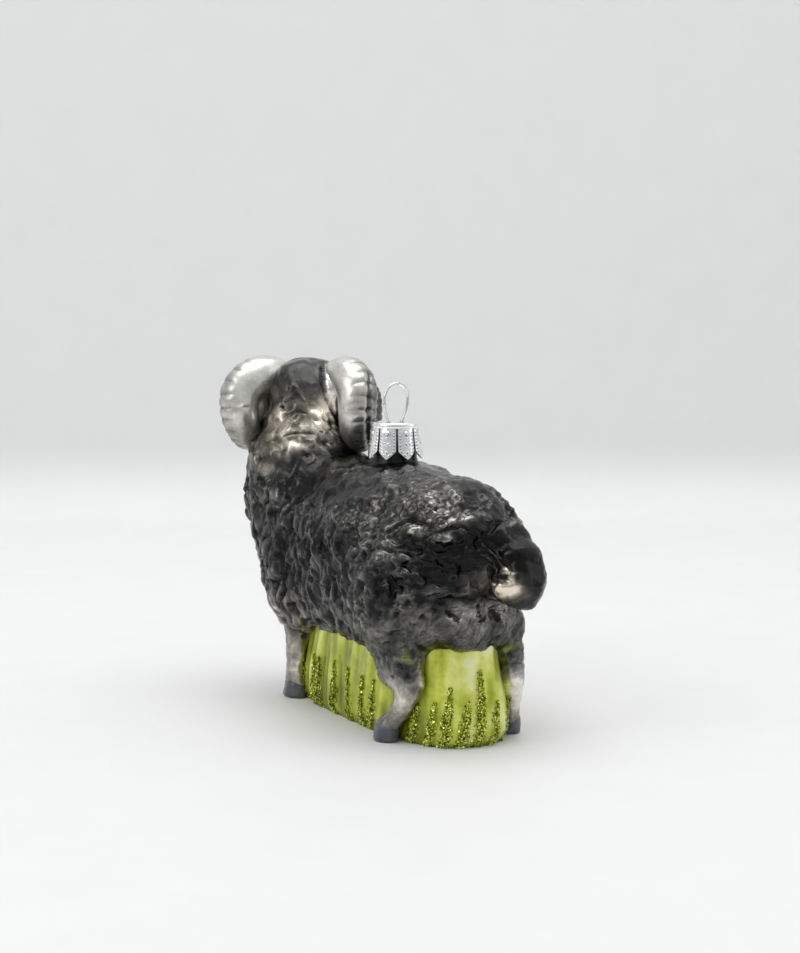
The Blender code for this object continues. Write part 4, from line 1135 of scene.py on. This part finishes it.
def eye(name, side):
    """A domed eye on the side of the brow, ringed for its paint."""
    let_go()
    dome = ball_at(EYE_CENTRE, EYE_RADII, name)
    points = points_of(dome)
    out = np.array(EYE_LOOKS)
    away = points - np.array(EYE_CENTRE)
    off_axis = np.linalg.norm(away - (away @ out)[:, None] * out, axis=1)
    paint_value(dome, "ring", np.where(away @ out > 0, off_axis / EYE_RIM, 1.0))
    move_points(dome, out_of_head_frame(points, side))
    face_out(dome)
    dome.data.shade_smooth()
    return dome


# --- The grass -----------------------------------------------------------------------------------


def outline_points(angles):
    """Places on the grass's rounded outline, seen from above."""
    power = 2 / GRASS_SQUARENESS
    cosine, sine = np.cos(angles), np.sin(angles)
    x = GRASS_HALF_WIDTH * np.sign(cosine) * np.abs(cosine) ** power
    y = GRASS_HALF_LENGTH * np.sign(sine) * np.abs(sine) ** power
    return np.stack([x, y], axis=1)


def outline_table():
    """Angles round the outline and how far each is along it."""
    angles = np.linspace(0, math.tau, OUTLINE_STEPS)
    steps = np.linalg.norm(np.diff(outline_points(angles), axis=0), axis=1)
    return angles, np.concatenate([[0.0], np.cumsum(steps)])


OUTLINE_ANGLES, OUTLINE_WALK = outline_table()
OUTLINE_LENGTH = float(OUTLINE_WALK[-1])


def mound_at(walked, z):
    """A place on the plain mound, this far round its outline and this high."""
    angles = np.interp(np.mod(walked, OUTLINE_LENGTH), OUTLINE_WALK, OUTLINE_ANGLES)
    size = 0.96 + 0.04 * ease(z, 0.0, 3.0) - 0.06 * ease(z, 8.0, GRASS_TOP_Z)
    flat = outline_points(angles) * np.asarray(size)[..., None]
    return np.stack([flat[:, 0], flat[:, 1] + GRASS_CENTRE_Y, np.broadcast_to(z, flat[:, 0].shape)], axis=1)


def mound_normals(walked, z):
    """Which way is out of the plain mound at each place."""
    beside = mound_at(walked + 0.4, z) - mound_at(walked - 0.4, z)
    out = np.stack([beside[:, 1], -beside[:, 0], np.zeros(len(beside))], axis=1)
    return out / np.linalg.norm(out, axis=1)[:, None]


def all_strokes():
    """The strokes that the photograph shows, and the same kind of strokes round the rest of the tuft."""
    rng = random.Random(STROKE_SEED)
    strokes = list(SEEN_STROKES)
    place = HIDDEN_FROM
    while place < HIDDEN_TO:
        height, lean, width = rng.uniform(8.5, 14.0), rng.uniform(0.3, 1.8), rng.uniform(1.5, 1.9)
        strokes.append((place % OUTLINE_LENGTH, height, lean, width))
        place += HIDDEN_STROKE_PITCH * rng.uniform(0.85, 1.15)
    return strokes


def stroke_line(stroke, up):
    """Where a stroke's middle runs and half its width, for places that are this far up it."""
    start, _, lean, width = stroke
    half = STROKE_SPREAD * width * (1 - STROKE_TAPER * up**STROKE_POINT)
    return start + lean * up**STROKE_CURVE, half


def stroke_share(walked, z, stroke):
    """How far across a stroke a place is, from 0 on its middle line to 1 on its edge, and over 1 outside."""
    height = stroke[1]
    middle, half = stroke_line(stroke, np.clip(z / height, 0, 1))
    off = np.mod(walked - middle + OUTLINE_LENGTH / 2, OUTLINE_LENGTH) - OUTLINE_LENGTH / 2
    return np.where(z < height, np.abs(off) / half, 9.0)


def mound_lift(walked, z):
    """How far the tuft swells from its plain outline, and how much of that is folds and how much glue."""
    flow = np.stack([walked - 0.10 * z, 0.0 * z, z], axis=1)
    folds = waves(flow, (2.0, 1.0, 13.0)) * 0.45 + waves(flow, (5.0, 1.0, 16.0), 4.0) * 0.45
    glue = np.zeros(len(z))
    for stroke in all_strokes():
        glue = np.maximum(glue, 1 - ease(stroke_share(walked, z, stroke), 0.6, 1.2))
    return folds * ease(z, 0.0, 2.5) + GLUE_HEIGHT * glue, folds, glue


def mound():
    """The tuft itself: a rounded block with soft upright folds, and a bead of glue under each stroke."""
    let_go()
    bpy.ops.mesh.primitive_circle_add(vertices=GRASS_SIDES, radius=1.0, fill_type="NGON")
    tuft = bpy.context.active_object
    levels = int(GRASS_TOP_Z / GRASS_LEVEL)
    edit_all()
    for _ in range(levels):
        pull_up((0, 0, 1.0))
    leave_edit()
    raw = points_of(tuft) * MM
    walked = np.mod(np.arctan2(raw[:, 1], raw[:, 0]), math.tau) / math.tau * OUTLINE_LENGTH
    z = raw[:, 2] / levels * GRASS_TOP_Z
    plain, out = mound_at(walked, z), mound_normals(walked, z)
    lift, folds, glue = mound_lift(walked, z)
    move_points(tuft, plain + out * lift[:, None])
    face_out(tuft)
    rear = ease(-plain[:, 1], 31.0, 37.0)
    patches = waves(np.stack([walked, 0.0 * z, z], axis=1), (4.0, 1.0, 6.0), 2.0)
    # The dark band along the bottom edge is painted contact shade, stored with the glue.
    paint_value(tuft, "glue", np.maximum(0.85 * glue, 0.8 * (1 - ease(z, 0.2, 1.3))))
    paint_value(tuft, "pale", 0.27 + 0.36 * rear + 0.55 * folds + 0.35 * patches + 0.12 * ease(z, 10.0, 19.0))
    tuft.data.shade_smooth()
    return named(tuft, "grass_mound")


def foil_flake():
    """One flake of glitter: a thin five-sided plate."""
    let_go()
    bpy.ops.mesh.primitive_cylinder_add(vertices=FLAKE_SIDES, radius=1.0, depth=FLAKE_DEPTH)
    flake = bpy.context.active_object
    edit_all()
    bpy.ops.transform.resize(value=(1.0, FLAKE_NARROW, 1.0))
    leave_edit()
    return flake


def glitter():
    """Flakes scattered thickly over every stroke, each turned its own way."""
    pattern = foil_flake()
    shape = points_of(pattern) * MM
    faces = [tuple(face.vertices) for face in pattern.data.polygons]
    rng = np.random.default_rng(FLAKE_SEED)
    walks, heights = [], []
    for stroke in all_strokes():
        _, height, _, width = stroke
        dense = FLAKES_PER_MM2 * (1.0 if stroke in SEEN_STROKES else HIDDEN_FLAKES)
        count = int(height * width * 1.44 * STROKE_SPREAD * dense)
        up = rng.uniform(0, 1, count)
        middle, half = stroke_line(stroke, up)
        walks.append(middle + rng.normal(0, FLAKE_SCATTER, count).clip(-FLAKE_STRAY, FLAKE_STRAY) * half)
        heights.append(np.maximum(up * height, 0.2))
    walked, z = np.concatenate(walks), np.concatenate(heights)
    normals = mound_normals(walked, z)
    lift = mound_lift(walked, z)[0] + rng.uniform(0.0, FLAKE_PILE, len(z))
    places = mound_at(walked, z) + normals * lift[:, None]
    points, polygons, shades = [], [], []
    for k, (place, out) in enumerate(zip(places, normals)):
        lean = Vector(out + rng.normal(0, FLAKE_TILT, 3)).normalized()
        turn = np.array(lean.to_track_quat("Z", "X").to_matrix())
        here = shape * FLAKE_RADIUS * rng.uniform(FLAKE_SMALLEST, FLAKE_LARGEST) @ turn.T + place
        here[:, 2] = np.maximum(here[:, 2], 0.02)
        points.append(here)
        polygons += [tuple(index + k * len(shape) for index in face) for face in faces]
        shades.append(np.full(len(shape), rng.uniform() ** 0.8))
    mesh = bpy.data.meshes.new("grass_glitter")
    mesh.from_pydata((np.concatenate(points) * MM).tolist(), [], polygons)
    piece = put_in("grass_glitter", mesh)
    paint_value(piece, "flake", np.concatenate(shades))
    bpy.data.objects.remove(pattern)
    return piece


# --- The cap, neck and wire ----------------------------------------------------------------------


def cap_radius(z):
    """The cap's outside radius at a height: a rounded shoulder, a straight side, then a slight flare."""
    heights = [PETAL_TIP_Z - 0.5, CAP_TOP_Z - 3.0, CAP_TOP_Z - 1.0, CAP_TOP_Z - 0.35, CAP_TOP_Z]
    radii = [
        CAP_RIM_RADIUS, CAP_TOP_RADIUS + 0.15, CAP_TOP_RADIUS, CAP_TOP_RADIUS - 0.25, CAP_TOP_RADIUS - 1.0,
    ]
    return np.interp(z, heights, radii)


def embossing(x, z, edge):
    """How far the stamping raises each place on a petal, and how much painted shade it gets on its embossing
    and at its edges.
    """
    along = ease(np.sin(math.tau * (z - PETAL_TIP_Z) / DASH_PITCH), 0.0, 0.5)
    dashes = hill(edge, 0.48, 0.20) * along * ease(z, PETAL_TIP_Z + 0.5, PETAL_TIP_Z + 0.9)
    dashes = dashes * (1 - ease(z, CAP_TOP_Z - 1.9, CAP_TOP_Z - 1.6))
    boss = np.hypot(x, z - CAP_TOP_Z + BOSS_BELOW_TOP)
    knob = 1 - ease(boss, 0.30, 0.55)
    dot = 1 - ease(np.hypot(x, z - PETAL_TIP_Z - DOT_ABOVE_TIP), 0.16, 0.34)
    zigzag = PETAL_TIP_Z + LEAF_ABOVE_TIP + 0.42 * np.abs(np.mod(np.abs(x) / 0.45 + 1, 2) - 1)
    leaf = hill(z, zigzag, 0.15) * (1 - ease(np.abs(x), 0.85, 1.0))
    stem = hill(x, 0.0, 0.12) * hill(z, CAP_TOP_Z - STEM_BELOW_TOP, 0.42)
    raised = 0.12 * dashes + 0.22 * knob + 0.14 * dot + 0.13 * leaf + 0.10 * stem
    # Painted shade on the dashes, round the knob, on the dot, leaf and stem, and along the petal's edge.
    dark = 0.85 * dashes + 0.55 * hill(boss, 0.62, 0.10) + 0.6 * leaf + 0.5 * dot + 0.35 * stem
    return raised, np.clip(dark + 0.6 * hill(edge, 0.0, 0.10), 0, 1)


def petal():
    """One stamped petal: a fine flat blank drawn in to a point, pressed round the cap and embossed."""
    let_go()
    bpy.ops.mesh.primitive_grid_add(x_subdivisions=PETAL_COLUMNS, y_subdivisions=PETAL_ROWS, size=1.0)
    blank = bpy.context.active_object
    flat = points_of(blank) * MM
    z = PETAL_TIP_Z + (flat[:, 1] + 0.5) * (CAP_TOP_Z - 0.9 - PETAL_TIP_Z)
    gap = 0.5 - 0.2 * ease(z, PETAL_TIP_Z + 1.0, CAP_TOP_Z - 1.5)
    half = math.pi * cap_radius(z) / PETALS - gap / 2
    taper = 0.04 + 0.96 * np.clip((z - PETAL_TIP_Z) / PETAL_POINT, 0, 1) ** 0.85
    x = 2 * flat[:, 0] * half * taper
    raised, dark = embossing(x, z, (half * taper - np.abs(x)) * (0.75 + 0.25 * taper))
    crown = 0.26 * (1 - (x / half) ** 2) * (1 - ease(z, CAP_TOP_Z - 2.5, CAP_TOP_Z - 0.9))
    radius = cap_radius(z) + crown + raised
    angle = x / cap_radius(z)
    move_points(blank, np.stack([radius * np.cos(angle), radius * np.sin(angle), z], axis=1))
    # Stores the painted shade of the stamping.
    paint_value(blank, "stamping_shade", dark)
    sheet = blank.modifiers.new("sheet", "SOLIDIFY")
    sheet.thickness, sheet.offset = CAP_SHEET * MM, -1.0
    apply_all(blank)
    face_out(blank)
    return named(blank, "petal")


def cap():
    """The stamped cap: a rounded top with two holes for the wire, and eight pointed petals."""
    one = petal()
    petals = [one]
    for k in range(1, PETALS):
        twin = put_in("petal", one.data.copy())
        twin.data.transform(Matrix.Rotation(math.tau * k / PETALS, 4, "Z"))
        petals.append(twin)
    let_go()
    stations = [
        ((0, 0, CAP_TOP_Z - drop), (0, 0, 1), CAP_TOP_RADIUS - inset) for drop, inset in CAP_SHOULDER
    ]
    top = swept_tube("cap_top", stations, 96)
    holes = []
    for x in (-LEG_SPREAD, LEG_SPREAD):
        bpy.ops.mesh.primitive_cylinder_add(
            vertices=24, radius=WIRE_HOLE_RADIUS * MM, depth=4 * MM, location=(x * MM, 0, CAP_TOP_Z * MM)
        )
        bpy.ops.object.transform_apply(location=True, rotation=True, scale=True)
        holes.append(bpy.context.active_object)
    for hole in holes:
        cut = top.modifiers.new("wire hole", "BOOLEAN")
        cut.operation, cut.solver, cut.object = "DIFFERENCE", "EXACT", hole
    apply_all(top)
    for hole in holes:
        bpy.data.objects.remove(hole)
    paint_value(top, "stamping_shade", np.zeros(len(top.data.vertices)))
    take(top, *petals)
    bpy.ops.object.join()
    bpy.ops.object.shade_smooth_by_angle(angle=math.radians(40))
    return named(top, "stamped_cap")


def neck_tube():
    """The short black glass tube that the cap sits on."""
    let_go()
    stations = [((0, 0, z), (0, 0, 1), NECK_RADIUS + more) for z, more in NECK_PROFILE]
    tube = swept_tube("black_neck", stations, 64)
    take(tube)
    bpy.ops.object.shade_smooth_by_angle(angle=math.radians(40))
    return tube


def wire_loop():
    """The sprung wire loop, whose two legs go down through the cap."""
    let_go()
    rise = LOOP_TOP_Z - WIRE_RADIUS - LOOP_WIDEST_Z
    drop = (LOOP_WIDEST_Z - CAP_TOP_Z - 0.4) / math.sin(math.radians(LOOP_OPENING))
    line = [Vector((-LEG_SPREAD, 0, CAP_TOP_Z - 1.5)), Vector((-LEG_SPREAD, 0, CAP_TOP_Z - 0.3))]
    for k in range(LOOP_STEPS + 1):
        angle = math.radians(180 + LOOP_OPENING - (180 + 2 * LOOP_OPENING) * k / LOOP_STEPS)
        x = (LOOP_HALF_WIDTH - WIRE_RADIUS) * math.cos(angle)
        z = LOOP_WIDEST_Z + (rise if math.sin(angle) > 0 else drop) * math.sin(angle)
        lean = LOOP_LEAN * (z - CAP_TOP_Z) / (LOOP_TOP_Z - CAP_TOP_Z)
        line.append(Vector((x + lean, 0, z)))
    line += [Vector((LEG_SPREAD, 0, CAP_TOP_Z - 0.3)), Vector((LEG_SPREAD, 0, CAP_TOP_Z - 1.5))]
    stations = []
    for i, place in enumerate(line):
        ahead, behind = line[min(i + 1, len(line) - 1)], line[max(i - 1, 0)]
        stations.append((place, ahead - behind, WIRE_RADIUS))
    loop = swept_tube("hanging_wire", stations, WIRE_SIDES)
    loop.data.shade_smooth()
    return loop


# --- The stage -----------------------------------------------------------------------------------


def sweep():
    """A sheet of pale paper that lies flat and turns up behind."""
    let_go()
    bpy.ops.mesh.primitive_plane_add(size=1.0)
    sheet = bpy.context.active_object
    edit_all()
    bpy.ops.transform.resize(value=(PAPER_WIDTH, PAPER_DEPTH + PAPER_BEND_AT, 1.0))
    bpy.ops.transform.translate(value=(0, (PAPER_BEND_AT - PAPER_DEPTH) / 2, 0))
    leave_edit()
    back = {i for i, vertex in enumerate(sheet.data.vertices) if vertex.co.y > 0}
    for face in sheet.data.polygons:
        face.select = False
    for edge in sheet.data.edges:
        edge.select = set(edge.vertices) <= back
    for i, vertex in enumerate(sheet.data.vertices):
        vertex.select = i in back
    bpy.ops.object.mode_set(mode="EDIT")
    turns = [math.radians(90 * k / PAPER_BEND_STEPS) for k in range(PAPER_BEND_STEPS + 1)]
    for a, b in zip(turns, turns[1:]):
        pull_up((0, PAPER_BEND * (math.sin(b) - math.sin(a)), PAPER_BEND * (math.cos(a) - math.cos(b))))
    pull_up((0, 0, PAPER_HEIGHT))
    leave_edit()
    sheet.data.transform(Matrix.Rotation(CAMERA_TURN, 4, "Z"))
    sheet.data.shade_smooth()
    sheet.data.materials.append(pale_paper())
    named(sheet, "paper_sweep")


def light_stage():
    """Large soft lights, each turned to what it lights."""
    for name, seen_place, target, size, power in SOFT_BOXES:
        light = bpy.data.lights.new(name, "AREA")
        light.shape = "RECTANGLE"
        light.size, light.size_y = size
        light.energy = power
        box = put_in(name, light)
        box.location = along_view(*seen_place)
        box.rotation_euler = (Vector(target) - box.location).to_track_quat("-Z", "Y").to_euler()


def room():
    """Even pale light all round, a little stronger from above and weaker on the camera's side."""
    world = bpy.data.worlds.new("pale_room")
    bpy.context.scene.world = world
    world.use_nodes = True
    tree = world.node_tree
    tree.nodes.clear()
    way = node(tree, "ShaderNodeTexCoord").outputs["Generated"]
    forward = (-math.sin(CAMERA_TURN), math.cos(CAMERA_TURN), 0.0)
    ahead = node(tree, "ShaderNodeVectorMath", {0: way, 1: forward}, operation="DOT_PRODUCT").outputs["Value"]
    height = node(tree, "ShaderNodeSeparateXYZ", {0: way}).outputs["Z"]
    lit = sum_of(tree, ahead, height, 1.1)
    strength = spread(tree, lit, -0.9, 0.7, ROOM_DIM, ROOM_BRIGHT)
    seen = node(tree, "ShaderNodeLightPath").outputs["Is Camera Ray"]
    room_light = node(tree, "ShaderNodeBackground", {"Color": ROOM_TINT, "Strength": strength})
    backdrop = node(tree, "ShaderNodeBackground", {"Color": BACKDROP, "Strength": 1.0})
    both = node(tree, "ShaderNodeMixShader", {0: seen, 1: room_light.outputs[0], 2: backdrop.outputs[0]})
    node(tree, "ShaderNodeOutputWorld", {"Surface": both.outputs[0]})


def photo_camera():
    """The camera where the photograph's stood."""
    camera = bpy.data.cameras.new("photo_camera")
    camera.lens = LENS
    camera.sensor_width = SENSOR
    camera.sensor_fit = "AUTO"
    eye_point = put_in("photo_camera", camera)
    eye_point.location = along_view(CAMERA_SIDE, -CAMERA_REACH, CAMERA_HEIGHT)
    look = along_view(0.0, math.cos(CAMERA_DIP), -math.sin(CAMERA_DIP))
    eye_point.rotation_euler = look.to_track_quat("-Z", "Y").to_euler()
    bpy.context.scene.camera = eye_point
    bpy.context.scene.view_settings.view_transform = "Standard"


# --- Putting it together -------------------------------------------------------------------------


def dress(piece, finish, slot, *nodes):
    """Gives a piece its finish and the body that it rides on, and hides the nodes that it stands for. Its
    slot is not used.
    """
    piece.data.materials.clear()
    piece.data.materials.append(finish)
    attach(piece, "root")
    if nodes:
        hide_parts(*nodes)


def main():
    """Sets the stage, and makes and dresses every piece."""
    let_go()
    photo_camera()
    sweep()
    light_stage()
    room()
    whole = blown_skin()
    skin = cut_off(whole, "smoke_glass_skin", HOOF_LINE, True)
    hooves = cut_off(whole, "slate_hooves", HOOF_LINE, False)
    bpy.data.objects.remove(whole)
    dress(skin, smoke_lacquer(), "smoke_glass", *[name for name in FLESH if name not in HOOVES])
    dress(hooves, hoof_lacquer(), "hoof_glass", *HOOVES)
    horn_finish, eye_finish = horn_lacquer(), eye_paint()
    for hand, side in (("right", 1), ("left", -1)):
        dress(horn(f"ridged_horn_{hand}", side), horn_finish, "horn_glass", f"horn_{hand}")
        dress(eye(f"painted_eye_{hand}", side), eye_finish, "eye_paint", f"eye_{hand}")
    dress(mound(), lime_lacquer(), "grass_glass", "grass")
    dress(glitter(), green_glitter(), "grass_glass")
    dress(neck_tube(), black_glass(), "neck_glass", "glass_neck")
    dress(cap(), stamped_silver(), "cap_metal", "cap")
    dress(wire_loop(), spring_wire(), "wire", "hanger")
    let_go()


main()
